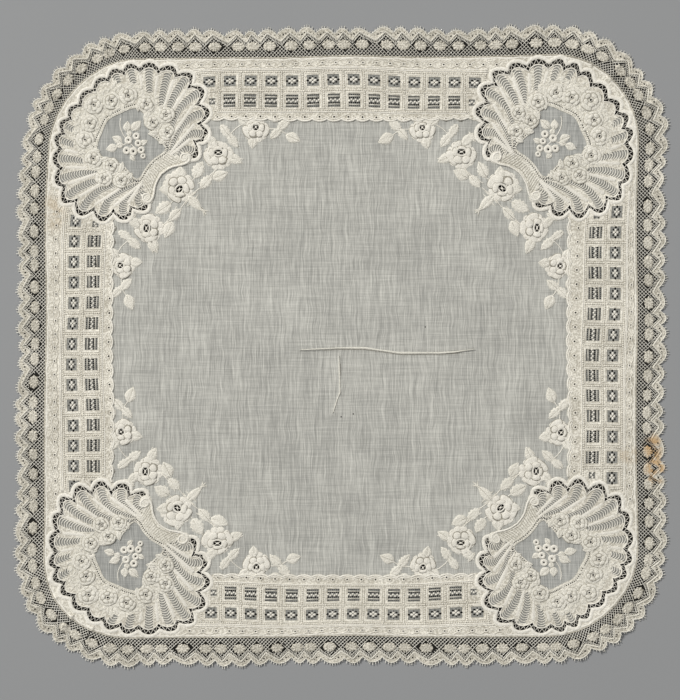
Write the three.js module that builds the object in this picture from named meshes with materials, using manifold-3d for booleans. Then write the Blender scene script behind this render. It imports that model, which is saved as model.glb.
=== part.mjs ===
// A white-work handkerchief laid flat: a square of fine lawn with an embroidered and pierced border,
// a scallop shell in each corner and rose sprays between them, edged with gathered bobbin lace.
// Millimetres, +Z up. The origin is the middle of the underside, which rests on the surface.
//
// It has two pieces, as the real one is sewn: the embroidered lawn panel, and the lace edging that is
// whipped to its rim. Embroidery is part of the panel, so it is raised in the panel's own upper face.
import * as THREE from "three";
import { mergeVertices } from "three/addons/utils/BufferGeometryUtils.js";
import Module from "manifold-3d";

const wasm = await Module();
wasm.setup();

// ---------------------------------------------------------------- driving dimensions

const panel = {
  halfX: 200.5, // from the middle to the rim, left and right
  halfY: 196.5, // from the middle to the rim, top and bottom
  cornerRadius: 60,
};
const lace = {
  depth: 20.4, // rim of the panel to the tip of a scallop
  valley: 16.2, // rim of the panel to the dip between two scallops
  scallops: 124,
  seam: 0.3, // running clearance between the two sewn pieces
  bandDepth: 5.2, // close clothwork that borders the scallops
  flowerAt: 9.4, // rim of the panel to the middle of a net flower
  flowerRadius: 3.6,
  gatherAt: 15, // the lace keeps its own length here, and is gathered inside it
  tipFrom: 0.34, // each scallop is at its full depth between these shares of its pitch
  tipTo: 0.66,
};
// Where the edging is eased round a corner it stands in small folds: columns are the angle round the
// corner from where it starts to bend, the fold's width at the seam, and its lean in millimetres.
const cornerFolds = [
  { angle: 14, width: 3.4, lean: 1.2 },
  { angle: 33, width: 2.8, lean: -1.4 },
  { angle: 47, width: 4.4, lean: 2 },
  { angle: 62, width: 3, lean: 0.8 },
  { angle: 80, width: 3.4, lean: -1.2 },
];
// Heights above the surface. The lawn itself is the thinnest cloth here.
const level = { pierced: 0.9, lawn: 1.0, border: 1.4, net: 1.0, clothwork: 1.5, relief: 1.9, crease: 1.6 };
const hidden = 0.2; // raised forms start at this height, inside the cloth they belong to
const clear = 1; // cutters pass this far beyond what they cut
// How large the flat top of each padded form is, as a share of its foot.
const crown = { rib: 0.72, rose: 0.86, smallRose: 0.8, leaf: 0.7, berry: 0.7, volute: 0.8, fold: 0.4 };

// The border along each side: how far the middle of its windows lies along the side, how far its outer
// row lies in from the rim, how much further in the row lies at its ends than at its middle (bow), and
// how much it leans.
const sideBorders = {
  top: { along: 2, firstRow: 15.1, bow: 1.6, lean: 0.8 },
  bottom: { along: 2.5, firstRow: 14.5, bow: 1.7, lean: 0.1 },
  left: { along: -3.1, firstRow: 17.8, bow: 2.5, lean: 0.1 },
  right: { along: 2.8, firstRow: 15.3, bow: -1.1, lean: -1.5 },
};
const innerEdge = { x: 45, y: 41 }; // from the rim in to the clear lawn
const windows = { pitch: 13.9, size: 8.4, rowGap: 13.5, outerCount: 14, innerCount: 12 };
const innerScallop = { pitch: 9.6, rise: 1.3 };

// A corner shell, in its own axes: u points out along the corner's diagonal, v across it.
const shell = {
  x: 143.9, // from the middle of the handkerchief to the middle of the shell
  y: 141.3,
  radiusU: 47.5,
  radiusV: 61.5,
  fanHalfAngle: 135, // the rim is an ellipse out to this angle from the diagonal, then curls in
  rimCurl: { u: -39.5, v: 33.7 },
  rimEnd: { u: -36.5, v: 19.7 },
  lobes: 21,
  lobeRise: 2.4,
  openworkWidth: 2.7,
  edgeOutside: 4, // rim line to the shell's outer edge
  hinge: { u: -34, v: 0 },
  garland: { u: 8, v: 0, radiusU: 33, radiusV: 36 }, // ribs stop at this ring of roses
  volute: { u: -36.9, v: 17.7, radius: 4.2 },
  drawnFrom: 10, // distances across the shell between which its ends come to be drawn in
  drawnTo: 42,
};
const rib = {
  width: 3.6,
  taper: 0.75, // share of the width that is lost by the time a rib reaches the hinge
  belowRim: 3.4,
  bow: 0.42, // how far along the rib it still heads straight in from the rim
  longest: 0.8, // share of the way to the hinge
  shortest: 7, // a rib with less room than this is left out, under the roses
};
const reserveOutline = [
  { u: 18, v: 0 },
  { u: 10, v: 20 },
  { u: -7, v: 16.5 },
  { u: -25, v: 14 },
  { u: -20.8, v: 0 },
];
const garlandRoses = [
  { u: 37, v: 0, radius: 6.4 },
  { u: 27.6, v: 9.6, radius: 5.6 },
  { u: 21.8, v: 21.6, radius: 5.8 },
  { u: 7.2, v: 27, radius: 5.4 },
  { u: -2, v: 19.6, radius: 4.8 },
  { u: -8, v: 33.6, radius: 5.2 },
  { u: -14.4, v: 20.8, radius: 4.8 },
];
const berries = [
  { u: 1, v: 1 },
  { u: -1, v: 9 },
  { u: -4.6, v: -3.4 },
  { u: -8, v: 2.6 },
  { u: -10.6, v: 9.4 },
  { u: -3, v: -9.6 },
];
const berryRadius = 2.5;

// Half of one corner's spray, from the diagonal towards the top rim: distances from the middle of the
// handkerchief. The other half is its mirror across the corner's diagonal.
const sprayRoses = [
  { x: 82.7, y: 130.8, radius: 9.2 },
  { x: 56.6, y: 147.6, radius: 8 },
];
const cornerRose = { x: 110.4, y: 110.4, radius: 9.8 };
const roseOpening = { half: 2.3, inward: 1.2, depth: 0.7 };
const sprayLeaves = [
  { x: 58.5, y: 143.1, tipX: 59.5, tipY: 134.6, width: 6.5 },
  { x: 61.5, y: 151.3, tipX: 69, tipY: 156.7, width: 5.4 },
  { x: 80.6, y: 151.3, tipX: 68.3, tipY: 135.7, width: 6.8 },
  { x: 83.6, y: 137, tipX: 91.1, tipY: 144.8, width: 5.8 },
  { x: 75.8, y: 130.6, tipX: 66, tipY: 125.5, width: 6.5 },
  { x: 87, y: 115.3, tipX: 76.2, tipY: 120.4, width: 7.5 },
  { x: 88.1, y: 117, tipX: 95.9, tipY: 108.8, width: 6.5 },
  { x: 99.3, y: 115.9, tipX: 93.2, tipY: 126.8, width: 8.2 },
  { x: 41.8, y: 148.2, tipX: 33.7, tipY: 155.4, width: 5.8 },
  { x: 40.1, y: 148.9, tipX: 47.3, tipY: 141.1, width: 5.8 },
  { x: 36.7, y: 144.8, tipX: 26.2, tipY: 140.8, width: 7.1 },
  { x: 108.5, y: 114, tipX: 108.5, tipY: 124.1, width: 7.5 },
];
const cornerBud = { x: 103, y: 103, tipX: 93.6, tipY: 93.6, width: 7 };

// Pressed creases left by folding, as short soft ridges in the lawn.
const creases = [
  { from: [-26, 0.6], through: [22, 0.4], to: [90, -3.2], width: 2.4 },
  { from: [-2.2, -5], through: [0.4, -26], to: [-5.6, -45], width: 2.2 },
  { from: [-121.4, 15], through: [-119, -6], to: [-121.8, -54], width: 2.0 },
  { from: [5.6, 120], through: [6.6, 128], to: [5.4, 134], width: 1.8 },
];

// Unevenness of the hand-made cloth as it is pinned out, in millimetres.
const stretch = { x: 1, y: 1.9 }; // the pattern lies this far left of and below the middle of the rim
const cornerPull = { topRight: 2.6, topLeft: -4.2, bottomLeft: 3.4, bottomRight: 0.4, reach: 180 };
const sway = [
  { reach: 0.9, across: 148, along: 231, phase: 0.6 },
  { reach: 0.5, across: 83, along: 117, phase: 2.1 },
];

// ---------------------------------------------------------------- hand-made unevenness

const TURN = 2 * Math.PI;

// Where a point of the true square lies once the cloth has been washed and pinned out by hand.
function pinnedOut({ x, y }) {
  const moved = new THREE.Vector2(x, y);
  const { topRight, topLeft, bottomLeft, bottomRight, reach: corner } = cornerPull;
  const [top, bottom] = x > 0 ? [topRight, bottomRight] : [topLeft, bottomLeft];
  const nearCorner = Math.min(1, Math.abs(x * y) / corner ** 2) ** 3;
  moved.addScaledVector(moved.clone().normalize(), (y > 0 ? top : bottom) * nearCorner);
  moved.x += stretch.x * ((x / panel.halfX) ** 2 - 1);
  moved.y += stretch.y * ((y / panel.halfY) ** 2 - 1);
  for (const { reach, across, along, phase } of sway) {
    moved.x += reach * Math.sin((TURN * y) / across + phase) * Math.cos((TURN * x) / along);
    moved.y += reach * Math.sin((TURN * x) / across + 2 * phase) * Math.cos((TURN * y) / along);
  }
  return moved;
}

// ---------------------------------------------------------------- solids

function solidOf(geometry) {
  const bare = geometry.index ? geometry.toNonIndexed() : geometry;
  bare.deleteAttribute("normal");
  bare.deleteAttribute("uv");
  const merged = mergeVertices(bare, 1e-4);
  const mesh = new wasm.Mesh({
    numProp: 3,
    vertProperties: merged.attributes.position.array,
    triVerts: new Uint32Array(merged.index.array),
  });
  return new wasm.Manifold(mesh);
}

function geometryOf(solid) {
  const mesh = solid.getMesh();
  const geometry = new THREE.BufferGeometry();
  geometry.setAttribute("position", new THREE.BufferAttribute(mesh.vertProperties, mesh.numProp));
  geometry.setIndex(new THREE.BufferAttribute(mesh.triVerts, 1));
  geometry.computeVertexNormals();
  return geometry;
}

// A straight-sided slab of this outline.
function slab(outline, low, high) {
  const shape = new THREE.Shape(outline.map(pinnedOut));
  const geometry = new THREE.ExtrudeGeometry(shape, { depth: high - low, bevelEnabled: false });
  return solidOf(geometry.translate(0, 0, low));
}

// A padded form of this outline: it starts inside the cloth and slopes in towards its own middle as it
// rises to the relief, where its top is the outline drawn in to this share of its size.
function padded(walk, topShare) {
  const outline = (THREE.ShapeUtils.isClockWise(walk) ? walk.toReversed() : walk).map(pinnedOut);
  const middle = outline.reduce((sum, p) => sum.add(p), new THREE.Vector2()).divideScalar(outline.length);
  const top = outline.map((p) => middle.clone().lerp(p, topShare));
  const position = [...outline.flatMap((p) => [p.x, p.y, hidden]), ...top.flatMap((p) => [p.x, p.y, level.relief])];
  const count = outline.length;
  const faces = [];
  for (const [i, j, k] of THREE.ShapeUtils.triangulateShape(outline, [])) {
    faces.push([k, j, i], [count + i, count + j, count + k]);
  }
  for (let i = 0; i < count; i++) {
    const next = (i + 1) % count;
    faces.push([i, next, count + next], [i, count + next, count + i]);
  }
  const mesh = new wasm.Mesh({
    numProp: 3,
    vertProperties: new Float32Array(position),
    triVerts: new Uint32Array(faces.flat()),
  });
  return new wasm.Manifold(mesh);
}

const joined = (solids) => wasm.Manifold.union(solids);

// ---------------------------------------------------------------- outlines

const at = (x, y) => new THREE.Vector2(x, y);

// The panel's rim as one closed walk, measured where the lace keeps its own length. Gives the point
// that lies a distance `out` outside the rim.
const straightX = 2 * (panel.halfX - panel.cornerRadius);
const straightY = 2 * (panel.halfY - panel.cornerRadius);
const bend = (Math.PI / 2) * (panel.cornerRadius + lace.gatherAt);
const rimLength = 2 * (straightX + straightY) + 4 * bend;

// How far along the walk each corner starts to bend.
const cornerStarts = [
  straightY,
  straightY + bend + straightX,
  2 * straightY + 2 * bend + straightX,
  2 * straightY + 3 * bend + 2 * straightX,
];

function rimPoint(share, out) {
  let left = THREE.MathUtils.euclideanModulo(share, 1) * rimLength;
  for (let quarter = 0; quarter < 4; quarter++) {
    const straight = quarter % 2 ? straightX : straightY;
    const facing = (quarter * Math.PI) / 2;
    const farX = quarter % 2 ? panel.halfY : panel.halfX;
    const turned = (along, across) => {
      const [c, s] = [Math.cos(facing), Math.sin(facing)];
      return at(along * c - across * s, along * s + across * c);
    };
    if (left <= straight) return turned(farX + out, left - straight / 2);
    left -= straight;
    if (left <= bend) {
      const angle = (left / bend) * (Math.PI / 2);
      const reach = panel.cornerRadius + out;
      return turned(farX - panel.cornerRadius + reach * Math.cos(angle), straight / 2 + reach * Math.sin(angle));
    }
    left -= bend;
  }
  return rimPoint(0, out);
}

// Points round the rim, a few for each scallop, each at its own depth: columns share of a pitch, depth.
function roundRim(stops) {
  const outline = [];
  for (let i = 0; i < lace.scallops; i++) {
    for (const { share, out } of stops) outline.push(rimPoint((i + share) / lace.scallops, out));
  }
  return outline;
}

function ringOfPoints(centre, radius, count, turn = 0) {
  return Array.from({ length: count }, (_, i) => {
    const angle = turn + (TURN * i) / count;
    return at(centre.x + radius * Math.cos(angle), centre.y + radius * Math.sin(angle));
  });
}

// A five-petalled rose from above, as a ring of lobes.
function roseOutline(centre, radius, turn) {
  const petals = 5;
  const dip = 0.8;
  return Array.from({ length: 2 * petals }, (_, i) => {
    const reach = radius * (i % 2 ? dip : 1);
    const angle = turn + (Math.PI * i) / petals;
    return at(centre.x + reach * Math.cos(angle), centre.y + reach * Math.sin(angle));
  });
}

// A pointed leaf from its stalk to its tip, widest before the middle.
function leafOutline(stalk, tip, width) {
  const belly = stalk.clone().lerp(tip, 0.42);
  const side = at(stalk.y - tip.y, tip.x - stalk.x).setLength(width / 2);
  return [stalk, belly.clone().sub(side), tip, belly.clone().add(side)];
}

// ---------------------------------------------------------------- the four corners

// No shell is quite as wide as another: its end along the top or bottom rim is drawn in by endX towards
// the corner, and its end along a side rim by endY.
const quarters = [
  { sx: 1, sy: 1, endX: 8.2, endY: 7.5 },
  { sx: -1, sy: 1, endX: 3.6, endY: 5.4 },
  { sx: -1, sy: -1, endX: 3.6, endY: 7.5 },
  { sx: 1, sy: -1, endX: 9.5, endY: 5.8 },
];

// From a shell's own axes to the handkerchief's.
function fromShell({ sx, sy, endX, endY }, u, v) {
  const drawn = THREE.MathUtils.clamp((Math.abs(v) - shell.drawnFrom) / (shell.drawnTo - shell.drawnFrom), 0, 1);
  const x = shell.x + (u + v) * Math.SQRT1_2 + (v < 0 ? endX * drawn : 0);
  const y = shell.y + (u - v) * Math.SQRT1_2 + (v > 0 ? endY * drawn : 0);
  return at(sx * x, sy * y);
}

// A place in a spray and its mirror across the corner's diagonal, in one quarter.
const bothSides = ({ sx, sy }, x, y) => [at(sx * x, sy * y), at(sx * y, sy * x)];

// ---------------------------------------------------------------- corner shell

// The shell's rim line without its lobes, from one volute round the fan to the other.
function shellRimLine() {
  const fan = THREE.MathUtils.degToRad(shell.fanHalfAngle);
  const ellipse = new THREE.EllipseCurve(0, 0, shell.radiusU, shell.radiusV, -fan, fan);
  const [start, end] = [ellipse.getPoint(0), ellipse.getPoint(1)];
  const curl = at(shell.rimCurl.u, shell.rimCurl.v);
  const line = new THREE.CurvePath();
  line.add(new THREE.QuadraticBezierCurve(at(shell.rimEnd.u, -shell.rimEnd.v), at(curl.x, -curl.y), start));
  line.add(ellipse);
  line.add(new THREE.QuadraticBezierCurve(end, curl, at(shell.rimEnd.u, shell.rimEnd.v)));
  return line;
}
const rimLine = shellRimLine();

// A place on the lobed rim and the way out of the shell there. Lobe i runs from share i to i + 1 lobes.
function onShellRim(lobe, outward) {
  const share = Math.min(Math.max(lobe / shell.lobes, 0.0005), 0.9995);
  const place = rimLine.getPoint(share);
  const ahead = rimLine.getPoint(share + 0.0004).sub(rimLine.getPoint(share - 0.0004)).normalize();
  const out = at(ahead.y, -ahead.x);
  const wave = -shell.lobeRise * Math.cos(TURN * lobe);
  return { place: place.add(out.clone().multiplyScalar(outward + wave)), out };
}

function shellRimPoints(outward, stepsPerLobe) {
  const count = shell.lobes * stepsPerLobe;
  return Array.from({ length: count + 1 }, (_, i) => onShellRim(i / stepsPerLobe, outward).place);
}

const toQuarter = (quarter, outline) => outline.map((p) => fromShell(quarter, p.x, p.y));

// The ground of the shell, from its outer edge to the line between the two volutes.
function shellGround(quarter) {
  return slab(toQuarter(quarter, shellRimPoints(shell.edgeOutside, 2)), 0, level.relief + 2 * clear);
}

// The wavy band of openwork just inside the rim.
function openworkBand(quarter) {
  const half = shell.openworkWidth / 2;
  const outline = [...shellRimPoints(half, 2), ...shellRimPoints(-half, 2).reverse()];
  return slab(toQuarter(quarter, outline), level.pierced, level.relief + clear);
}

const inGarland = (p) => {
  const { u, v, radiusU, radiusV } = shell.garland;
  return ((p.x - u) / radiusU) ** 2 + ((p.y - v) / radiusV) ** 2 < 1;
};

// The padded rib from a dip of the rim towards the hinge, as far as the garland, if there is room.
function shellRib(quarter, lobe) {
  const { place: start, out } = onShellRim(lobe, -rib.belowRim);
  const hinge = at(shell.hinge.u, shell.hinge.v);
  const control = start.clone().addScaledVector(out, -rib.bow * start.distanceTo(hinge));
  const line = new THREE.QuadraticBezierCurve(start, control, hinge);
  const step = 0.02;
  let share = step;
  while (share < rib.longest && !inGarland(line.getPoint(share))) share += step;
  const end = line.getPoint(share);
  if (start.distanceTo(end) < rib.shortest) return [];
  const across = at(end.y - start.y, start.x - end.x).normalize();
  const half = rib.width / 2;
  const taper = 1 - rib.taper * share;
  const outline = [
    start.clone().addScaledVector(across, half),
    start.clone().addScaledVector(across, -half),
    end.clone().addScaledVector(across, -half * taper),
    end.clone().addScaledVector(across, half * taper),
  ];
  return [padded(toQuarter(quarter, outline), crown.rib)];
}

function shellRelief(quarter) {
  const forms = [];
  for (let lobe = 1; lobe < shell.lobes; lobe++) forms.push(...shellRib(quarter, lobe));
  for (const { u, v, radius } of garlandRoses) {
    for (const side of v ? [1, -1] : [1]) {
      const centre = fromShell(quarter, u, side * v);
      forms.push(padded(ringOfPoints(centre, radius, 6, centre.angle()), crown.smallRose));
    }
  }
  for (const side of [1, -1]) {
    const centre = fromShell(quarter, shell.volute.u, side * shell.volute.v);
    forms.push(padded(ringOfPoints(centre, shell.volute.radius, 8), crown.volute));
  }
  return joined(forms);
}

// The sheer shield inside the garland, with its bunch of berries standing on the lawn.
function reserve(quarter) {
  const lower = reserveOutline.slice(1, -1).map(({ u, v }) => ({ u, v: -v }));
  const closed = [...reserveOutline, ...lower.reverse()];
  return slab(closed.map(({ u, v }) => fromShell(quarter, u, v)), level.lawn, level.relief + clear);
}

function berryBunch(quarter) {
  const rows = berries.map(({ u, v }) => ringOfPoints(fromShell(quarter, u, v), berryRadius, 5));
  return joined(rows.map((outline) => padded(outline, crown.berry)));
}

// ---------------------------------------------------------------- sprays of roses

function spray(quarter) {
  const forms = [];
  const openings = [];
  const addRose = (centre, radius) => {
    const inward = centre.angle() + Math.PI;
    const eye = centre.clone().setLength(centre.length() - roseOpening.inward);
    const pit = ringOfPoints(eye, roseOpening.half, 4, inward);
    forms.push(padded(roseOutline(centre, radius, inward), crown.rose));
    openings.push(slab(pit, level.relief - roseOpening.depth, level.relief + clear));
  };
  const addLeaf = ({ x, y, tipX, tipY, width }) => {
    const [stalks, tips] = [bothSides(quarter, x, y), bothSides(quarter, tipX, tipY)];
    stalks.forEach((stalk, i) => forms.push(padded(leafOutline(stalk, tips[i], width), crown.leaf)));
  };
  for (const { x, y, radius } of sprayRoses) bothSides(quarter, x, y).forEach((p) => addRose(p, radius));
  addRose(bothSides(quarter, cornerRose.x, cornerRose.y)[0], cornerRose.radius);
  sprayLeaves.forEach(addLeaf);
  const [stalk] = bothSides(quarter, cornerBud.x, cornerBud.y);
  const [tip] = bothSides(quarter, cornerBud.tipX, cornerBud.tipY);
  forms.push(padded(leafOutline(stalk, tip, cornerBud.width), crown.leaf));
  return joined(forms).subtract(joined(openings));
}

// ---------------------------------------------------------------- pierced border

// One side's windows as [distance along the side, distance inward from the rim].
function windowPlaces({ along, firstRow, bow, lean }) {
  const places = [];
  const reach = ((windows.outerCount - 1) / 2) * windows.pitch;
  [windows.outerCount, windows.innerCount].forEach((count, row) => {
    for (let i = 0; i < count; i++) {
      const offset = (i - (count - 1) / 2) * windows.pitch;
      const share = offset / reach;
      const inward = firstRow + row * windows.rowGap + lean * share + bow * share ** 2;
      places.push([along + offset, inward]);
    }
  });
  return places;
}

function piercedWindows() {
  const cutters = [];
  const half = windows.size / 2;
  const cutAt = (x, y) => {
    const [left, right, low, high] = [x - half, x + half, y - half, y + half];
    const corners = [at(left, low), at(right, low), at(right, high), at(left, high)];
    cutters.push(slab(corners, level.pierced, level.relief + clear));
  };
  for (const [side, sign] of [["top", 1], ["bottom", -1]]) {
    for (const [along, inward] of windowPlaces(sideBorders[side])) cutAt(along, sign * (panel.halfY - inward));
  }
  for (const [side, sign] of [["right", 1], ["left", -1]]) {
    for (const [along, inward] of windowPlaces(sideBorders[side])) cutAt(sign * (panel.halfX - inward), along);
  }
  return joined(cutters);
}

// The clear lawn inside the border: a rectangle with a scalloped rim, less the four shells.
function clearLawn() {
  const reachX = panel.halfX - innerEdge.x;
  const reachY = panel.halfY - innerEdge.y;
  const outline = [];
  const addSide = (reach, inward, turned) => {
    const count = Math.round((2 * reach) / innerScallop.pitch);
    for (let i = 0; i < 2 * count; i++) {
      const along = -reach + (i * reach) / count;
      outline.push(turned(along, inward - (i % 2 ? innerScallop.rise : 0)));
    }
  };
  addSide(reachX, reachY, (along, inward) => at(along, -inward));
  addSide(reachY, reachX, (along, inward) => at(inward, along));
  addSide(reachX, reachY, (along, inward) => at(-along, inward));
  addSide(reachY, reachX, (along, inward) => at(-inward, -along));
  const whole = slab(outline, level.lawn, level.relief + clear);
  return whole.subtract(joined(quarters.map(shellGround)));
}

function crease({ from, through, to, width }) {
  const line = new THREE.QuadraticBezierCurve(at(...from), at(...through), at(...to));
  const steps = 7;
  const sides = [1, -1].map((side) =>
    Array.from({ length: steps - 1 }, (_, i) => {
      const share = (i + 1) / steps;
      const ahead = line.getTangent(share);
      const half = (width / 2) * Math.sin(Math.PI * share);
      return line.getPoint(share).add(at(-ahead.y, ahead.x).multiplyScalar(side * half));
    }),
  );
  const outline = [at(...from), ...sides[0], at(...to), ...sides[1].reverse()];
  return slab(outline, hidden, level.crease);
}

// ---------------------------------------------------------------- the two pieces

function lawnPanel() {
  const rim = roundRim([{ share: 0, out: 0 }]);
  const cloth = slab(rim, 0, level.border)
    .subtract(clearLawn())
    .subtract(joined(quarters.map(reserve)))
    .subtract(piercedWindows());
  const relief = joined([
    ...quarters.map(shellRelief),
    ...quarters.map(berryBunch),
    ...quarters.map(spray),
    ...creases.map(crease),
  ]);
  return cloth.add(relief).subtract(joined(quarters.map(openworkBand)));
}

// The edging: a strip of net with a flower in each scallop, bordered by close zigzag clothwork.
function laceEdging() {
  const outer = roundRim([
    { share: 0, out: lace.valley },
    { share: lace.tipFrom, out: lace.depth },
    { share: lace.tipTo, out: lace.depth },
  ]);
  const netEdge = roundRim([
    { share: 0, out: lace.valley - lace.bandDepth },
    { share: 0.5, out: lace.depth - lace.bandDepth },
  ]);
  const inner = roundRim([{ share: 0, out: lace.seam }]);
  const flowers = Array.from({ length: lace.scallops }, (_, i) => {
    const share = (i + 0.5) / lace.scallops;
    const centre = rimPoint(share, lace.flowerAt);
    const outward = centre.clone().sub(rimPoint(share, 0)).angle();
    return slab(ringOfPoints(centre, lace.flowerRadius, 4, outward), hidden, level.clothwork);
  });
  const folds = cornerStarts.flatMap((start) =>
    cornerFolds.map(({ angle, width, lean }) => {
      const foot = start + (angle / 90) * bend;
      const stops = [
        { along: foot - width / 2, out: 0 },
        { along: foot + width / 2, out: 0 },
        { along: foot + lean, out: lace.flowerAt + 2 },
      ];
      return padded(stops.map(({ along, out }) => rimPoint(along / rimLength, out)), crown.fold);
    }),
  );
  return slab(outer, 0, level.clothwork)
    .subtract(slab(netEdge, level.net, level.relief + clear))
    .add(joined([...flowers, ...folds]))
    .subtract(slab(inner, -clear, level.relief + clear));
}

function piece(name, solid, colour) {
  const material = new THREE.MeshStandardMaterial({ color: colour, roughness: 0.95, metalness: 0 });
  const mesh = new THREE.Mesh(geometryOf(solid), material);
  mesh.name = name;
  return mesh;
}

const handkerchief = new THREE.Group();
handkerchief.add(piece("lawn_panel", lawnPanel(), 0xdcd6c8));
handkerchief.add(piece("lace_edging", laceEdging(), 0xd8d0bd));

export default handkerchief;
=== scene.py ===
# %% [markdown]
# # A white-work handkerchief, edged with bobbin lace
# A square of very fine lawn lies flat. Its border is stitched so closely that it turns opaque, and it
# is pierced with small openwork windows. A scallop shell fills each corner, with rose sprays beside
# it, and a gathered lace edging is whipped to the rim. The dimensions of the true square are in
# millimetres here, and every finished piece is turned to metres when it is laid in its place.

import math

import bpy
import numpy as np
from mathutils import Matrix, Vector
from mathutils.geometry import delaunay_2d_cdt


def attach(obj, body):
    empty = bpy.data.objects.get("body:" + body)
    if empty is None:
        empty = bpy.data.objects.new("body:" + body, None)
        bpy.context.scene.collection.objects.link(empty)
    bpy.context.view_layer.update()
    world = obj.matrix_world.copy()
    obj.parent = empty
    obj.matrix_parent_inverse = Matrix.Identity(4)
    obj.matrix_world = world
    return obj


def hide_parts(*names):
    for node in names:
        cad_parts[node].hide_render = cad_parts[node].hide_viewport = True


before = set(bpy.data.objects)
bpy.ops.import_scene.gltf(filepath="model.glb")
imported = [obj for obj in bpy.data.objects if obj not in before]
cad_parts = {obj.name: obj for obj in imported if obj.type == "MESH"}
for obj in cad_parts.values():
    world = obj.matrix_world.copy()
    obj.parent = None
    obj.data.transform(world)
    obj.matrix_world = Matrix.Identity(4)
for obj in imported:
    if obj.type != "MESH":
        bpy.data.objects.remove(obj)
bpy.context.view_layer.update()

# %% [markdown]
# A needlewoman counts in millimetres, so the script does too. The few sizes that drive the rest are
# named here: half the square, the radius of its round corners, the depth of the lace, and the
# heights of the layers. All the layers together are less than 4 mm thick.

# %% Main dimensions
MM = 0.001
TURN = 2 * math.pi
HALF_X, HALF_Y, CORNER = 200.5, 196.5, 60
# Of the lace: how deep it is at a scallop's tip and in the valley between two, how far out its zigzag
# and its blossoms lie, and how far out it keeps its own length round the corners.
LACE = {"depth": 20.4, "valley": 16.2, "scallops": 124, "zigzag": (10.5, 16.2), "flower_at": 8.3,
        "gather_at": 15}
# Heights above the table: the floor of a hole, the sheer lawn and the close stitching, and the foot
# of what is stitched on top of that.
Z = {"hole": 0.25, "lawn": 0.95, "stitched": 1.3}
LOW = 1.2
print("the square is", 2 * HALF_X, "by", 2 * HALF_Y, "mm, and the lace", LACE["depth"], "mm more")

# %% [markdown]
# The cloth was made by hand, washed and pinned out again, so nothing on it is quite square. Every
# piece could be drawn crooked by hand, but then the pieces would not meet. So all of them are drawn
# on the true square, and one function moves every point to where it really lies.

# %% Pinning the cloth out
def pinned_out(points):
    """Where points of the true square lie on the real cloth, in millimetres."""
    moved = np.array(points, float).reshape(-1, 2)
    x, y = moved[:, 0].copy(), moved[:, 1].copy()
    pull = np.where(y > 0, np.where(x > 0, 2.6, -4.2), np.where(x > 0, 0.4, 3.4))
    pull = pull * np.minimum(1, np.abs(x * y) / 180**2) ** 3
    length = np.maximum(np.hypot(x, y), 1e-9)
    moved[:, 0] += x / length * pull + (x / HALF_X) ** 2 - 1
    moved[:, 1] += y / length * pull + 1.9 * ((y / HALF_Y) ** 2 - 1)
    for reach, across, along, phase in ((0.9, 148, 231, 0.6), (0.5, 83, 117, 2.1)):
        moved[:, 0] += reach * np.sin(TURN * y / across + phase) * np.cos(TURN * x / along)
        moved[:, 1] += reach * np.sin(TURN * x / across + 2 * phase) * np.cos(TURN * y / along)
    return moved


def before_pinning(points):
    """Which points of the true square come to lie at these places of the real cloth."""
    wanted = np.array(points, float).reshape(-1, 2)
    guess = wanted.copy()
    for _ in range(4):
        guess += wanted - pinned_out(guess)
    return guess


print("the top right corner of the square lies at", pinned_out([(HALF_X, HALF_Y)])[0].round(1))

# %% [markdown]
# Rows of knots, couched cords and pricked holes all follow a drawn line at an even pace. A curve
# object with an array along it could do that, but arithmetic on the points also tells where each
# stitch lies, so that it can be left out under a shell.

# %% Walking along a line
def lengths(line):
    """How far along a line each of its points lies."""
    return np.append(0, np.cumsum(np.linalg.norm(np.diff(line, axis=0), axis=1)))


def spots_along(line, places):
    """The points of a line at these distances along it."""
    far = lengths(line)
    return np.stack([np.interp(places, far, np.asarray(line)[:, i]) for i in (0, 1)], -1)


def path_at(points, height, closed=False):
    """A path for a thread: flat points at one height, and whether the path is closed."""
    return [(*point, height) for point in points], closed


print("half way along an L of 3 and 4 mm:", spots_along([(0, 0), (3, 0), (3, 4)], 3.5))

# %% [markdown]
# The rim is a square with round corners, and the lace goes round it without a seam. Four straight
# strips with four bent ones would do, but then the pattern would jump where they meet. So one
# function walks round the whole rim at an even pace. The lace keeps its own length a little outside
# the rim, and is gathered inside that.

# %% Walking round the rim
STRAIGHT_X, STRAIGHT_Y = 2 * (HALF_X - CORNER), 2 * (HALF_Y - CORNER)
BEND = math.pi / 2 * (CORNER + LACE["gather_at"])
RIM = 2 * (STRAIGHT_X + STRAIGHT_Y) + 4 * BEND


def round_rim(share, out):
    """Points a distance `out` beyond the rim, at these shares of the way round it."""
    share, out = np.broadcast_arrays(np.asarray(share, float), np.asarray(out, float))
    left = (share % 1) * RIM
    spots = np.zeros((*left.shape, 2))
    begin = 0.0
    for quarter in range(4):
        straight, far = (STRAIGHT_X, HALF_Y) if quarter % 2 else (STRAIGHT_Y, HALF_X)
        along = left - begin - straight / 2
        angle = np.clip((left - begin - straight) / BEND, 0, 1) * math.pi / 2
        reach = CORNER + out
        on_line = (left >= begin) & (left <= begin + straight)
        a = np.where(on_line, far + out, far - CORNER + reach * np.cos(angle))
        b = np.where(on_line, along, straight / 2 + reach * np.sin(angle))
        here = (left >= begin) & (left <= begin + straight + BEND)
        c, s = round(math.cos(quarter * math.pi / 2)), round(math.sin(quarter * math.pi / 2))
        spots[here] = np.stack([a * c - b * s, a * s + b * c], -1)[here]
        begin += straight + BEND
    return spots


print("the rim is", round(RIM), "mm round, for", LACE["scallops"], "scallops")

# %% [markdown]
# Cloth never lies quite flat: it has pressed creases, slow waves, and small gathers where the lace
# turns a corner. A cloth simulation would lift the stitches off their ground, so the waves are
# heights that are added to every point that lies there, on the cloth and on what is stitched to it
# alike.

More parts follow.
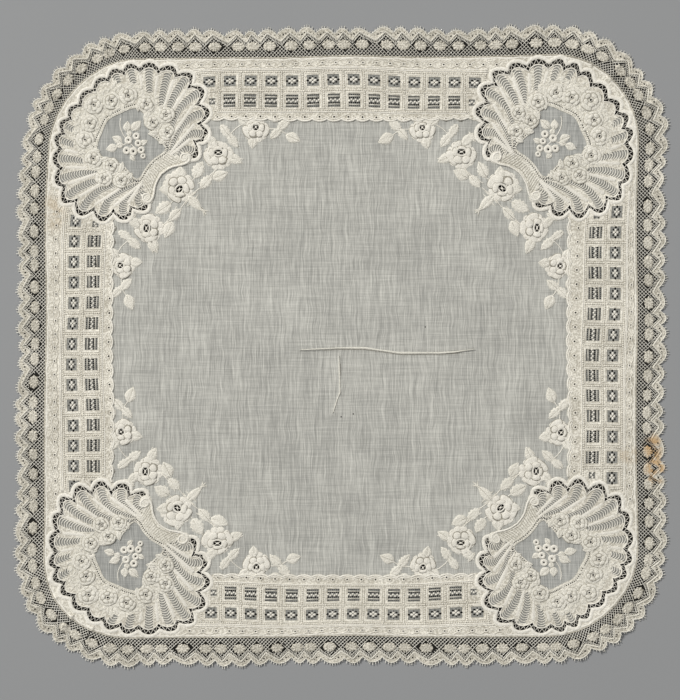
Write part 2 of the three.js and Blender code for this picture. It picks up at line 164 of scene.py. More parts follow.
# %% The lie of the cloth
# Each crease: its width, its height, and the points that it runs through.
CREASES = [
    (0.9, 0.8, [(-28, -2.2), (-1, -0.9), (16, -0.9), (40, -4.3), (67, -4.3), (77, -3.6), (91, -1.6)]),
    (0.9, 1.0, [(-1.4, -6), (-0.6, -31), (-2.7, -36), (-5.4, -45)]),
    (0.8, 0.5, [(-121, 13), (-120.4, -10)]),
    (0.8, 0.5, [(-121, -42), (-121.6, -62)]),
    (0.7, 0.5, [(5.8, 131), (6.5, 118)]),
]
# Each fold of the gathered corners: degrees round the corner, width, height, lean.
GATHERS = [(8, 1.4, 0.9, 0.6), (21, 1.4, 1.7, 1.2), (33, 1.3, 1.4, -1.4), (47, 1.7, 2.1, 2),
           (62, 1.3, 1.8, 0.8), (74, 1.3, 1.3, -0.6), (83, 1.4, 1.0, -1.2)]


def rise_of_cloth(x, y):
    """How far the cloth stands above its level at these places."""
    rise = 0.14 * (2 + np.sin(x / 13.1 + 0.7 * np.sin(y / 19)) + np.sin(y / 11.3 + 0.9 * np.sin(x / 23)))
    for width, height, points in CREASES:
        nearest = np.full(x.shape, 1e9)
        for (ax, ay), (bx, by) in zip(points, points[1:]):
            dx, dy = bx - ax, by - ay
            t = np.clip(((x - ax) * dx + (y - ay) * dy) / (dx * dx + dy * dy), 0, 1)
            nearest = np.minimum(nearest, np.hypot(x - ax - t * dx, y - ay - t * dy))
        rise += height * np.exp(-((nearest / width) ** 2))
    ax, ay = np.abs(x) - (HALF_X - CORNER), np.abs(y) - (HALF_Y - CORNER)
    out = np.hypot(ax, ay) - CORNER
    angle = np.degrees(np.arctan2(ay, ax))
    outside = np.clip((out - 0.5) / 3, 0, 1) * ((ax > 0) & (ay > 0))
    for at, width, height, lean in GATHERS:
        off = np.radians(angle - at) * (CORNER + out) - lean * out / 12
        rise += outside * height * np.exp(-((off / width) ** 2)) * np.clip(1.25 - out / 24, 0.3, 1)
    return rise


print("the cloth stands up to", round(float(rise_of_cloth(*np.mgrid[-200:200:2, -200:200:2]).max()), 2), "mm")

# %% [markdown]
# A node tree is easier to read as a line of arithmetic. `Wire` stands for one socket and adds a Math
# node for each sign, and `Board.add` makes any other node from its settings and its inputs.

# %% Wires and boards
class Wire:
    """One output socket, which can be used in arithmetic."""

    def __init__(self, board, socket):
        self.board, self.socket = board, socket

    def math(self, operation, first, second):
        return self.board.add("ShaderNodeMath", {"operation": operation}, {0: first, 1: second})

    def __add__(self, other): return self.math("ADD", self, other)
    def __radd__(self, other): return self.math("ADD", other, self)
    def __sub__(self, other): return self.math("SUBTRACT", self, other)
    def __rsub__(self, other): return self.math("SUBTRACT", other, self)
    def __mul__(self, other): return self.math("MULTIPLY", self, other)
    def __rmul__(self, other): return self.math("MULTIPLY", other, self)

    def above(self, low, high):
        """0 below `low`, 1 above `high`, and smooth between them."""
        return self.board.add("ShaderNodeMapRange", {"interpolation_type": "SMOOTHSTEP"},
                              {"Value": self, "From Min": low, "From Max": high})


class Board:
    """A node tree that nodes are added to."""

    def __init__(self, tree):
        self.tree = tree

    def add(self, kind, settings=None, values=None, out=0):
        node = self.tree.nodes.new(kind)
        for name, value in (settings or {}).items():
            setattr(node, name, value)
        for name, value in (values or {}).items():
            if isinstance(value, Wire):
                self.tree.links.new(value.socket, node.inputs[name])
            else:
                node.inputs[name].default_value = value
        return Wire(self, node.outputs[out]) if len(node.outputs) else node


# %% [markdown]
# Thousands of stitches repeat a few forms. Two Geometry Nodes trees do the repeating. The first sets a
# small stitched form out on many points, each with its own turn and size, as an embroiderer repeats a
# petal. Copies made one by one would do the same, but slowly. Both trees end with real faces.

# %% Trees that repeat
def new_tree(name, inputs):
    """A tree with these named inputs, as a board, and its inputs as wires."""
    tree = bpy.data.node_groups.new(name, "GeometryNodeTree")
    tree.interface.new_socket("Geometry", in_out="INPUT", socket_type="NodeSocketGeometry")
    for label, kind, default in inputs:
        socket = tree.interface.new_socket(label, in_out="INPUT", socket_type=kind)
        if default is not None:
            socket.default_value = default
    tree.interface.new_socket("Geometry", in_out="OUTPUT", socket_type="NodeSocketGeometry")
    board = Board(tree)
    source = tree.nodes.new("NodeGroupInput")
    wires = {socket.name: Wire(board, socket) for socket in source.outputs if socket.name}
    return board, wires


def close_tree(board, geometry, material):
    """Ends a tree with real faces in this finish."""
    whole = board.add("GeometryNodeRealizeInstances", {}, {"Geometry": geometry})
    whole = board.add("GeometryNodeSetMaterial", {}, {"Geometry": whole, "Material": material})
    end = board.tree.nodes.new("NodeGroupOutput")
    board.tree.links.new(whole.socket, end.inputs[0])
    return board.tree


def set_out_tree():
    """Sets one form out on points that carry a turn and a size."""
    board, given = new_tree("set out a stitch", [
        ("Form", "NodeSocketObject", None), ("Material", "NodeSocketMaterial", None),
        ("Unevenness", "NodeSocketFloat", 0.06), ("Seed", "NodeSocketInt", 7)])
    form = board.add("GeometryNodeObjectInfo", {}, {"Object": given["Form"]}, out=4)
    turn = board.add("GeometryNodeInputNamedAttribute", {"data_type": "FLOAT"}, {"Name": "turn"})
    size = board.add("GeometryNodeInputNamedAttribute", {"data_type": "FLOAT_VECTOR"}, {"Name": "size"})
    chance = board.add("FunctionNodeRandomValue", {"data_type": "FLOAT"},
                       {"Min": -1.0, "Max": 1.0, "Seed": given["Seed"]}, out=1)
    sway = chance * given["Unevenness"]
    turned = board.add("ShaderNodeCombineXYZ", {}, {"Z": turn + sway})
    grown = board.add("ShaderNodeVectorMath", {"operation": "SCALE"}, {0: size, "Scale": 1 + sway})
    many = board.add("GeometryNodeInstanceOnPoints", {}, {
        "Points": given["Geometry"], "Instance": form, "Rotation": turned, "Scale": grown})
    return close_tree(board, many, given["Material"])


print("a tree to set out a stitch, with inputs for its form, finish, unevenness and seed")

# %% [markdown]
# The second tree lays a round thread along every path of edges. A curve object with a bevel gives
# the same shape, but only a plain mesh can be exported, and the tree gives that at once.

# %% A tree that lays a thread
def lay_thread_tree():
    """Lays a round thread along every path of edges."""
    board, given = new_tree("lay a thread", [
        ("Material", "NodeSocketMaterial", None), ("Radius", "NodeSocketFloat", 0.3),
        ("Sides", "NodeSocketInt", 4)])
    path = board.add("GeometryNodeMeshToCurve", {}, {"Mesh": given["Geometry"]})
    ring = board.add("GeometryNodeCurvePrimitiveCircle", {"mode": "RADIUS"}, {
        "Resolution": given["Sides"], "Radius": given["Radius"]})
    thread = board.add("GeometryNodeCurveToMesh", {}, {
        "Curve": path, "Profile Curve": ring, "Fill Caps": True})
    return close_tree(board, thread, given["Material"])


SET_OUT, LAY_THREAD = set_out_tree(), lay_thread_tree()
print("trees:", [tree.name for tree in (SET_OUT, LAY_THREAD)])

# %% [markdown]
# A tree works on a live modifier, which the export would drop. So a carrier is given the modifier
# and its inputs, evaluated once, and what comes out is kept as a plain mesh.

# %% Keeping what a tree makes
def grown_from(tree, mesh, inputs):
    """The plain mesh that a tree makes from this one."""
    carrier = bpy.data.objects.new("carrier", mesh)
    bpy.context.collection.objects.link(carrier)
    modifier = carrier.modifiers.new("make", "NODES")
    modifier.node_group = tree
    for item in tree.interface.items_tree:
        if item.in_out == "INPUT" and item.name in inputs:
            modifier[item.identifier] = inputs[item.name]
    seen = carrier.evaluated_get(bpy.context.evaluated_depsgraph_get())
    made = bpy.data.meshes.new_from_object(seen)
    carrier.modifiers.clear()
    bpy.data.objects.remove(carrier)
    return made


# %% [markdown]
# Cotton on cotton is told apart only by its relief and by how thin it is. Its finishes are built from
# the same few nodes: a cloud of noise, a mix of two colours, and a matt surface. They could be placed by
# hand in the editor, but as functions they are the same in every finish.

# %% Nodes of a finish
def grain(board, place, scale, detail, stretch=(1, 1, 1), rough=0.55):
    """A cloud from 0 to 1, finer with its scale, and drawn out where the stretch is less than 1."""
    stretched = board.add("ShaderNodeMapping", {}, {"Vector": place, "Scale": stretch})
    return board.add("ShaderNodeTexNoise", {}, {
        "Vector": stretched, "Scale": scale, "Detail": detail, "Roughness": rough})


def new_finish(name):
    """An empty material, its board, and the place on the object that patterns follow."""
    material = bpy.data.materials.new(name)
    material.use_nodes = True
    tree = material.node_tree
    tree.nodes.clear()
    board = Board(tree)
    place = board.add("ShaderNodeTexCoord", out=3)
    return material, board, place


def close_finish(board, values):
    shader = board.add("ShaderNodeBsdfPrincipled", {}, values)
    board.add("ShaderNodeOutputMaterial", {}, {"Surface": shader})


def mixed(board, factor, first, second):
    """Two colours in this share."""
    return board.add("ShaderNodeMix", {"data_type": "RGBA"}, {0: factor, 6: first, 7: second}, out=2)


print("nodes for a cloud, a mix of two colours and a cotton surface are ready")

# %% [markdown]
# The handkerchief is old: there are two small rust stains on its edging, and a little tan near by and
# at the left. Painted textures could show that, but a cloud inside an oval, mixed into the colour,
# needs no picture and stays sharp.

# %% Old stains
def spot_of(board, place, x, y, wide, high):
    """1 in the middle of an oval at this place of the cloth, in millimetres, and 0 outside it."""
    middle, size = (x * MM, y * MM, 0), (wide * MM, high * MM, 1)
    moved = board.add("ShaderNodeVectorMath", {"operation": "SUBTRACT"}, {0: place, 1: middle})
    shaped = board.add("ShaderNodeVectorMath", {"operation": "DIVIDE"}, {0: moved, 1: size})
    away = board.add("ShaderNodeVectorMath", {"operation": "LENGTH"}, {0: shaped}, out=1)
    return 1 - away.above(0.3, 1.0)


def stained(board, place, colour):
    """The colour with its old stains: rust on the edging, and a little tan beside it."""
    cloud = grain(board, place, 210, 3.0).above(0.34, 0.56)
    rust = (spot_of(board, place, 212, -68, 9, 12) + spot_of(board, place, 214, -84, 10, 14)) * cloud
    tan = (spot_of(board, place, 197, -74, 13, 8) + spot_of(board, place, -196, 92, 12, 18)) * cloud * 0.7
    colour = mixed(board, rust * 0.78, colour, (0.56, 0.34, 0.13, 1))
    return mixed(board, tan * 0.5, colour, (0.55, 0.42, 0.26, 1))


print("stains are drawn at 4 places")

# %% [markdown]
# Stitched cotton is a cream that varies slowly, with a fine grain that is also its relief. Its cream
# is darker where the grain dips, which is painted shade. Real fibres would cost millions of faces, so a
# Bump node stands for them. The lawn is the same thread, but so thin that the table shows between its
# threads: its Alpha follows the thick and thin threads of a hand-woven cloth. It is greyer than the
# thread, most where its threads are thin, and that grey is painted shade between the threads.

# %% Cotton thread and sheer lawn
def thread_finish(name, dark, light, bump, fine=2600.0, stains=True):
    """Stitched cotton. Its grain is finer with `fine` and deeper with `bump`. Its cream is darker
    where the grain dips, which is painted shade.
    """
    material, board, place = new_finish(name)
    dark, light = (*dark, 1), (*light, 1)
    slow = grain(board, place, 55, 4.0).above(0.35, 0.68)
    quick = grain(board, place, fine, 2.0).above(0.36, 0.64)
    # The cream is darker where the grain dips: painted shade.
    colour = mixed(board, slow * 0.3 + quick * 0.7, dark, light)
    raised = board.add("ShaderNodeBump", {}, {"Strength": bump, "Distance": 0.00022, "Height": quick})
    colour = stained(board, place, colour) if stains else colour
    close_finish(board, {"Base Color": colour, "Roughness": 0.86, "Normal": raised,
                         "Specular IOR Level": 0.2})
    return material


def lawn_finish(name, thin, thick, dark, light):
    """Sheer cloth: how much it hides runs from thin to thick threads, both along and across. The
    threads wander a little from side to side. Its colour is darker where the threads are thin, which
    is painted shade between them."""
    material, board, place = new_finish(name)
    dark, light = (*dark, 1), (*light, 1)
    wander = board.add("ShaderNodeCombineXYZ", {}, {"X": grain(board, place, 60, 1.0) * 0.004})
    place = board.add("ShaderNodeVectorMath", {"operation": "ADD"}, {0: place, 1: wander})
    down = grain(board, place, 330, 3.0, (4.6, 0.15, 1), 0.75)
    over = grain(board, place, 330, 3.0, (0.12, 4.8, 1), 0.75)
    slow = grain(board, place, 24, 3.0)
    weave = down * 0.58 + over * 0.28 + slow * 0.14
    body = weave.above(0.3, 0.7)
    # Darker where the threads are thin: painted shade between them.
    colour = mixed(board, body, dark, light)
    raised = board.add("ShaderNodeBump", {}, {"Strength": 0.35, "Distance": 0.0002, "Height": weave})
    close_finish(board, {"Base Color": colour, "Roughness": 0.9, "Normal": raised,
                         "Alpha": thin + (thick - thin) * body, "Specular IOR Level": 0.2})
    return material


print("recipes:", thread_finish.__name__, "and", lawn_finish.__name__)

# %% [markdown]
# The same cream would make the whole piece flat. On the real one satin stitch catches the light,
# and the dips between stitches lie in shade. So each kind of stitch has a cream of its own, which is
# partly painted light and shade, and lines of shade have a darker one, which is painted shade.

# %% The finishes
# Each finish of thread: its darkest and its lightest cream, its relief and its fineness.
STITCHED = thread_finish("close stitching", (0.49, 0.455, 0.375), (0.92, 0.88, 0.775), 0.9, 800.0)
# The creams of satin, leaves and cords are lighter than the close stitching: partly painted light.
SATIN = thread_finish("satin stitch", (0.72, 0.685, 0.60), (0.90, 0.865, 0.78), 0.5, 1300.0)
LEAF_STITCH = thread_finish("leaf stitch", (0.67, 0.64, 0.555), (0.89, 0.855, 0.765), 0.7, 1100.0)
CORD = thread_finish("couched cord", (0.72, 0.685, 0.60), (0.93, 0.895, 0.81), 0.5, 900.0)
# Two dark creams of painted shade, for grooves, veins, the lines round petals and the neck's lines.
SHADE_LINE = thread_finish("painted groove shade", (0.26, 0.24, 0.195), (0.44, 0.41, 0.34), 0.5, 900.0)
SOFT_SHADE_LINE = thread_finish("soft painted groove shade", (0.34, 0.315, 0.255), (0.54, 0.51, 0.43), 0.5, 900.0)
LACE_THREAD = thread_finish("lace clothwork", (0.35, 0.325, 0.265), (0.82, 0.775, 0.67), 0.8, 800.0)
NET_THREAD = thread_finish("net thread", (0.72, 0.69, 0.60), (0.95, 0.92, 0.84), 0.4, 900.0)
FOLDED = thread_finish("folded lawn", (0.62, 0.60, 0.53), (0.82, 0.79, 0.70), 0.4, 900.0)
# Nearly black painted shade, for the floors and walls of holes, the pricks, pinholes and berry eyes, and the
# ground under the net.
HOLE_SHADE = thread_finish("painted shade of the holes", (0.008, 0.0075, 0.006), (0.024, 0.0225, 0.019), 0.3, stains=False)
GARLAND_GROUND = thread_finish("garland ground", (0.58, 0.55, 0.465), (0.88, 0.845, 0.75), 0.9, 900.0)
# Each finish of lawn: how much its thin and its thick threads hide, and their two colours, whose
# grey is painted shade between the threads.
LAWN = lawn_finish("fine lawn", 0.60, 0.92, (0.41, 0.405, 0.37), (0.745, 0.735, 0.67))
THIN_LAWN = lawn_finish("thin lawn", 0.58, 0.88, (0.32, 0.325, 0.305), (0.64, 0.635, 0.59))
DRAWN = lawn_finish("drawn threads", 0.80, 0.96, (0.20, 0.20, 0.18), (0.42, 0.415, 0.385))
print("finishes:", [material.name for material in bpy.data.materials])

# %% [markdown]
# Every piece is finished in the same way: its points are moved from the true square to the real
# cloth, raised with it and turned to metres, and it is told which body it rides on and which finish
# slot it belongs to. A lattice could bend the pieces too, but one function is exact and leaves a
# plain mesh.

# %% Laying a piece in its place
PIECES = {"lawn": [], "lace": []}


def drawn_mesh(name, points, faces=(), edges=()):
    """A plain mesh of these points and faces, or of points and edges."""
    mesh = bpy.data.meshes.new(name)
    mesh.from_pydata([tuple(map(float, p)) for p in points], edges, [tuple(face) for face in faces])
    return mesh


def laid_down(name, mesh, material, slot="lawn", parts=()):
    """Finishes a piece. `parts` may give further materials, for faces that already carry their number."""
    count = len(mesh.vertices)
    spots = np.empty(3 * count)
    mesh.vertices.foreach_get("co", spots)
    spots = spots.reshape(-1, 3)
    spots[:, :2] = pinned_out(spots[:, :2])
    spots[:, 2] += rise_of_cloth(spots[:, 0], spots[:, 1])
    mesh.vertices.foreach_set("co", (spots * MM).ravel())
    numbers = [face.material_index for face in mesh.polygons] if parts else [0] * len(mesh.polygons)
    mesh.materials.clear()
    for each in (material, *parts):
        mesh.materials.append(each)
    mesh.polygons.foreach_set("material_index", numbers)
    mesh.polygons.foreach_set("use_smooth", [number == 0 for number in numbers])
    mesh.update()
    piece = bpy.data.objects.new(name, mesh)
    bpy.context.collection.objects.link(piece)
    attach(piece, "root")
    PIECES[slot].append(piece)
    triangles = sum(len(face.vertices) - 2 for face in mesh.polygons)
    print(f"{name}: {triangles} triangles")
    return piece


print("pieces go to the slots", list(PIECES))

# %% [markdown]
# From here on most pieces are one call: a thread laid along paths, or a form set out on rows of
# places. Both hand their mesh to the same finishing function, so no piece can be forgotten when the
# cloth is pinned out.

# %% Two ways to stitch
def threads(name, paths, radius, material, slot="lawn", sides=4):
    """Lays a thread along each path of (x, y, z) points. A path may be marked closed."""
    points, edges = [], []
    for path, closed in paths:
        first = len(points)
        points += list(path)
        edges += [(first + i, first + i + 1) for i in range(len(path) - 1)]
        if closed:
            edges.append((len(points) - 1, first))
    mesh = drawn_mesh(name, points, edges=edges)
    made = grown_from(LAY_THREAD, mesh, {"Material": material, "Radius": radius, "Sides": sides})
    return laid_down(name, made, material, slot)


def stitches(name, form, rows, material, slot="lawn"):
    """Sets a form out on rows of x, y, z, turn, length, width, height."""
    rows = np.array(rows, float)
    mesh = drawn_mesh(name, rows[:, :3])
    mesh.attributes.new("turn", "FLOAT", "POINT").data.foreach_set("value", rows[:, 3])
    mesh.attributes.new("size", "FLOAT_VECTOR", "POINT").data.foreach_set("vector", rows[:, 4:7].ravel())
    made = grown_from(SET_OUT, mesh, {"Form": form, "Material": material})
    return laid_down(name, made, material, slot)


print("ways to stitch:", threads.__name__, "and", stitches.__name__)

# %% [markdown]
# The stitched forms are small cushions. Each is a strip: a few stations along a line with a rounded
# section between, closed at its ends. Sculpting would give the same, but a strip can also follow a
# whole cord along the rim, so one function makes both.

# %% Strips
# Sections, each from one side to the other: a share of the half width, and a share of the height.
PLUMP = [(-1, 0), (-0.72, 0.8), (0, 1), (0.72, 0.8), (1, 0)]
FLAT = [(-1, 0), (-0.5, 0.9), (0.5, 0.9), (1, 0)]
VEINED = [(-1, 0), (-0.8, 0.75), (-0.4, 1), (0, 0.45), (0.4, 1), (0.8, 0.75), (1, 0)]


def strip(path, halves, base, heights, section=PLUMP):
    """A raised strip along a path: its points and faces. Halves and heights are one for each point."""
    path, halves = np.array(path, float), np.array(halves, float)
    heights = np.broadcast_to(np.asarray(heights, float), halves.shape)
    ahead = np.gradient(path, axis=0)
    ahead /= np.maximum(np.linalg.norm(ahead, axis=1, keepdims=True), 1e-9)
    side = np.stack([-ahead[:, 1], ahead[:, 0]], -1)
    points, faces, wide = [], [], len(section)
    for spot, across, half, height in zip(path, side, halves, heights):
        points += [(*(spot + across * half * s), base + height * h) for s, h in section]
    for i in range(len(path) - 1):
        for j in range(wide - 1):
            a = i * wide + j
            faces.append((a, a + wide, a + wide + 1, a + 1))
    faces.append(tuple(range(wide)))
    faces.append(tuple(range((len(path) - 1) * wide, len(path) * wide))[::-1])
    return points, faces


def joined(parts):
    """Several pairs of points and faces as one."""
    points, faces = [], []
    for more, shapes in parts:
        first = len(points)
        points += more
        faces += [tuple(first + i for i in face) for face in shapes]
    return points, faces


print("a plump section has", len(PLUMP), "points, and a veined one", len(VEINED))

# %% [markdown]
# A petal is a long form, a knot a round one, and the bound edge of an eyelet a ring. They could be
# modelled by hand, but as rows of numbers each costs only a few dozen faces, which matters because
# some are set out thousands of times.

# %% Long, round and ring forms
FORMS = []


def new_form(name, points, faces):
    """A form to set out, which isn't rendered itself."""
    form = bpy.data.objects.new(name, drawn_mesh(name, points, faces))
    bpy.context.collection.objects.link(form)
    form.hide_render = True
    FORMS.append(form)
    return form


def long_form(name, stations, section):
    """A form along X from 0 to 1, from rows of place along, half width, height."""
    rows = np.array(stations, float)
    path = np.stack([rows[:, 0], np.zeros(len(rows))], -1)
    return new_form(name, *strip(path, rows[:, 1], 0, rows[:, 2], section))


def oval(x, y, wide, high, turn, count):
    """A closed oval of this many points, with its half length and half width, turned this far."""
    angles = np.linspace(0, TURN, count, endpoint=False)
    a, b, c, s = wide * np.cos(angles), high * np.sin(angles), math.cos(turn), math.sin(turn)
    return np.stack([x + a * c - b * s, y + a * s + b * c], -1)


def round_form(name, sides, rings):
    """A low round form of radius 1, from rows of radius, height, and a middle at the last height."""
    points, faces = [], []
    for radius, height in rings:
        points += path_at(oval(0, 0, radius, radius, 0, sides), height)[0]
    points.append((0, 0, rings[-1][1] * 1.04))
    for ring in range(len(rings) - 1):
        for i in range(sides):
            a, b = ring * sides + i, ring * sides + (i + 1) % sides
            faces.append((a, b, b + sides, a + sides))
    last = (len(rings) - 1) * sides
    faces += [(last + i, last + (i + 1) % sides, len(points) - 1) for i in range(sides)]
    return new_form(name, points, faces)


def ring_form(name, sides, inner, section):
    """A ring of outer radius 1 and this inner radius, with a raised section."""
    points, faces = [], []
    for i in range(sides):
        c, s = math.cos(TURN * i / sides), math.sin(TURN * i / sides)
        for share, height in section:
            radius = inner + (1 - inner) * (0.5 - 0.5 * share)
            points.append((radius * c, radius * s, height))
    wide = len(section)
    for i in range(sides):
        for j in range(wide - 1):
            a, b = i * wide + j, ((i + 1) % sides) * wide + j
            faces.append((a, b, b + 1, a + 1))
    return new_form(name, points, faces)


print("three kinds of form:", [kind.__name__ for kind in (long_form, round_form, ring_form)])

# %% [markdown]
# Satin stitch is worked over padding, so a petal swells and then falls to its tip. A veined form
# has a dip along its middle, as where the stitches of the two halves of a leaf meet.

# %% The forms that are repeated
# Round forms: sides, then each ring's radius and height.
BEAD = round_form("bead", 6, [(1, 0), (0.78, 0.75), (0.4, 1)])
KNOT = round_form("knot", 5, [(1, 0), (0.62, 0.9)])
ROUND = round_form("round", 14, [(1, 0), (0.93, 0.6), (0.6, 0.95)])
VOLUTE = round_form("volute", 16, [(1, 0), (0.9, 0.75), (0.6, 0.95)])
# Long forms: each station's place along, half width and height.
PETAL = long_form("petal", [
    (0, 0.16, 0.5), (0.12, 0.3, 0.75), (0.35, 0.42, 0.85), (0.6, 0.5, 0.95), (0.8, 0.46, 1),
    (0.93, 0.33, 0.85), (1, 0.14, 0.35)], VEINED)
PLAIN_PETAL = long_form("plain petal", [
    (0, 0.2, 0.6), (0.25, 0.4, 0.9), (0.6, 0.5, 1), (0.86, 0.38, 0.85), (1, 0.12, 0.3)], PLUMP)
LEAF = long_form("leaf", [
    (0, 0.05, 0.4), (0.14, 0.3, 0.85), (0.34, 0.48, 1), (0.55, 0.46, 1), (0.76, 0.3, 0.85), (0.9, 0.14, 0.6),
    (1, 0.02, 0.3)], VEINED)
TOOTHED_LEAF = long_form("toothed leaf", [
    (0, 0.05, 0.4), (0.12, 0.36, 0.8), (0.2, 0.3, 0.9), (0.32, 0.52, 1), (0.42, 0.4, 1), (0.53, 0.52, 1),
    (0.63, 0.34, 0.9), (0.73, 0.38, 0.8), (0.84, 0.2, 0.7), (1, 0.02, 0.3)], VEINED)
RIB = long_form("rib", [
    (0, 0.3, 0.5), (0.04, 0.48, 0.95), (0.35, 0.5, 1), (0.7, 0.42, 1), (0.95, 0.3, 0.8),
    (1, 0.18, 0.4)], PLUMP)
BAR = long_form("bar", [(0, 0.5, 1), (0.5, 0.5, 1), (1, 0.5, 1)], FLAT)
# Rings: sides, the hole's radius, then places across the ring and their heights.
BERRY = ring_form("berry", 12, 0.24, [(-1, 0), (-0.75, 0.75), (-0.1, 1), (0.6, 0.8), (1, 0)])
EYE_RING = ring_form("eye ring", 14, 0.6, FLAT)
print("forms:", [form.name for form in FORMS])

# %% [markdown]
# The border has four sides that look alike but were drawn by eye: each has its own distance from
# the rim, its own bow, and its own lean. One array for all four would be shorter, but too regular.
# A place in the border is a distance along the side from its middle window, and a distance inward
# from the outer row of windows.

# %% Places in the border
# Each side: where its middle window is, how far in its outer row lies, its bow at the ends, its lean.
SIDES = {"top": (2, 15.1, 1.6, 0.8), "bottom": (2.5, 14.5, 1.7, 0.1),
         "left": (-3.1, 17.8, 2.5, 0.1), "right": (2.8, 15.3, -1.1, -1.5)}
PITCH, ROW_GAP = 13.9, 13.5
ROW_REACH = 6.5 * PITCH
EYELET_PITCH = 9.15


def border(side, along, inward):
    """A point of one side's border, or an array of them."""
    middle, first, bow, lean = SIDES[side]
    along, inward = np.broadcast_arrays(np.asarray(along, float), np.asarray(inward, float))
    share = along / ROW_REACH
    held = np.clip(1 + (inward + 6.5) / (first - 6.5), 0, 1)
    depth = first + inward + (lean * share + bow * share**2) * held
    a = middle + along
    if side in ("top", "bottom"):
        sign = 1 if side == "top" else -1
        return np.stack([a, sign * (HALF_Y - depth)], -1)
    sign = 1 if side == "right" else -1
    return np.stack([sign * (HALF_X - depth), a], -1)


def side_turn(side):
    """The turn of what runs along a side."""
    return 0.0 if side in ("top", "bottom") else math.pi / 2


print("the first window of the top border:", border("top", -ROW_REACH, 0).round(1))

# %% [markdown]
# A shell fans out from its hinge to a rim that curls in at both ends and waves once for each of its
# 21 lobes. It could be traced point by point, but an oval with two short curves at its ends and a
# wave on it follows the same rule as the needlework. A shell has axes of its own: u runs out along
# the corner's diagonal and v across it.

# %% Places in a shell
SHELL_X, SHELL_Y, LOBES, LOBE_RISE, HINGE = 143.9, 141.3, 21, 3.1, np.array([-34.0, 0.0])
QUARTERS = [(1, 1), (-1, 1), (-1, -1), (1, -1)]


def bowed(start, control, end, steps=24):
    """A line that bends from its start towards a control point, and on to its end."""
    t = np.linspace(0, 1, steps)[:, None]
    return (1 - t) ** 2 * np.array(start) + 2 * t * (1 - t) * np.array(control) + t**2 * np.array(end)


fan = np.radians(np.linspace(-135, 135, 400))
OVAL = np.stack([47.5 * np.cos(fan), 61.5 * np.sin(fan)], -1)
RIM_LINE = np.concatenate([bowed((-36.5, -19.7), (-39.5, -33.7), OVAL[0])[:-1], OVAL,
                           bowed(OVAL[-1], (-39.5, 33.7), (-36.5, 19.7))[1:]])
RIM_LONG = lengths(RIM_LINE)[-1]


def to_square(u, v):
    """Places of a shell, in (u, v), as x and y of the top right quarter of the square."""
    return SHELL_X + (u + v) / math.sqrt(2), SHELL_Y + (u - v) / math.sqrt(2)


# What would lie from START inside the cloth's rim to BEYOND outside it is pressed together, so that it
# ends STOP inside the rim.
START, STOP, BEYOND = 13.0, 4.3, 1.5


def held_in(points):
    """Points in (u, v), pressed together where they near the rim of the cloth."""
    x, y = to_square(points[..., 0], points[..., 1])
    ax, ay = np.maximum(x - HALF_X + CORNER, 0), np.maximum(y - HALF_Y + CORNER, 0)
    reach = np.maximum(np.hypot(ax, ay), 1e-9)
    back = np.clip(reach - CORNER + START, 0, None) * (STOP + BEYOND) / (START + BEYOND)
    x, y = x - SHELL_X - ax / reach * back, y - SHELL_Y - ay / reach * back
    return np.stack([(x + y) / math.sqrt(2), (x - y) / math.sqrt(2)], -1)


def shell_rim(lobe, outward):
    """Points of the waving rim, in (u, v), and the way out of the shell there."""
    lobe = np.asarray(lobe, float)
    share = np.clip(lobe / LOBES, 0.0005, 0.9995)
    before, spot, after = (spots_along(RIM_LINE, (share + step) * RIM_LONG) for step in (-0.0004, 0, 0.0004))
    ahead = after - before
    ahead /= np.linalg.norm(ahead, axis=-1, keepdims=True)
    out = np.stack([ahead[..., 1], -ahead[..., 0]], -1)
    wave = LOBE_RISE * (2 * np.abs(np.sin(math.pi * lobe)) ** 0.85 - 1)
    return held_in(spot + out * wave[..., None]) + out * np.asarray(outward)[..., None], out


print("a shell's rim is", round(RIM_LONG), "mm long")

# %% [markdown]
# The four shells were drawn from one pattern, yet no two are quite as wide. So a shell is drawn
# once, and placed in each corner by mirroring it and drawing its two ends in.

# %% A shell in its corner
# No shell is quite as wide as another: how far its two ends are drawn in, along x and along y.
DRAWN_IN = {(1, 1): (8.2, 7.5), (-1, 1): (3.6, 5.4), (-1, -1): (3.6, 7.5), (1, -1): (9.5, 5.8)}


def in_quarter(quarter, points):
    """Points of a shell, in (u, v), as points of the square."""
    points = np.array(points, float)
    v = points[..., 1]
    x, y = to_square(points[..., 0], v)
    share = np.clip((np.abs(v) - 10) / 32, 0, 1)
    x, y = x + DRAWN_IN[quarter][0] * share * (v < 0), y + DRAWN_IN[quarter][1] * share * (v > 0)
    return np.stack([quarter[0] * x, quarter[1] * y], -1)


def under_roses(point):
    """Whether a place of the shell lies in the oval of the garland."""
    return ((point[0] - 8) / 33) ** 2 + (point[1] / 36) ** 2 < 1


def in_neck(point):
    """The neck joins the fan to its hinge. It lies between the shield and the two volutes."""
    return point[0] < -20 and abs(point[1]) < 13.5 - 0.3 * (point[0] + 20)


RAY_STEPS, LONGEST = 60, 0.8  # of a line to the hinge, and how much of it is drawn at most


def ray(lobe, outward):
    """The curved line from the rim towards the hinge, as far as the garland of roses."""
    start, out = shell_rim(lobe, outward)
    control = start - out * 0.42 * np.linalg.norm(start - HINGE)
    line = bowed(start, control, HINGE, RAY_STEPS + 1)
    end = 1
    while end < RAY_STEPS * LONGEST and not under_roses(line[end]) and not in_neck(line[end]):
        end += 1
    return line[: end + 1]


print("the middle ray is", round(float(lengths(ray(10.5, -2.3))[-1]), 1), "mm long")

# %% [markdown]
# The stitching of the border stops where a shell begins. It could be cut off by hand, but a test of
# whether a place lies inside the shell's edge does it for every row at once.

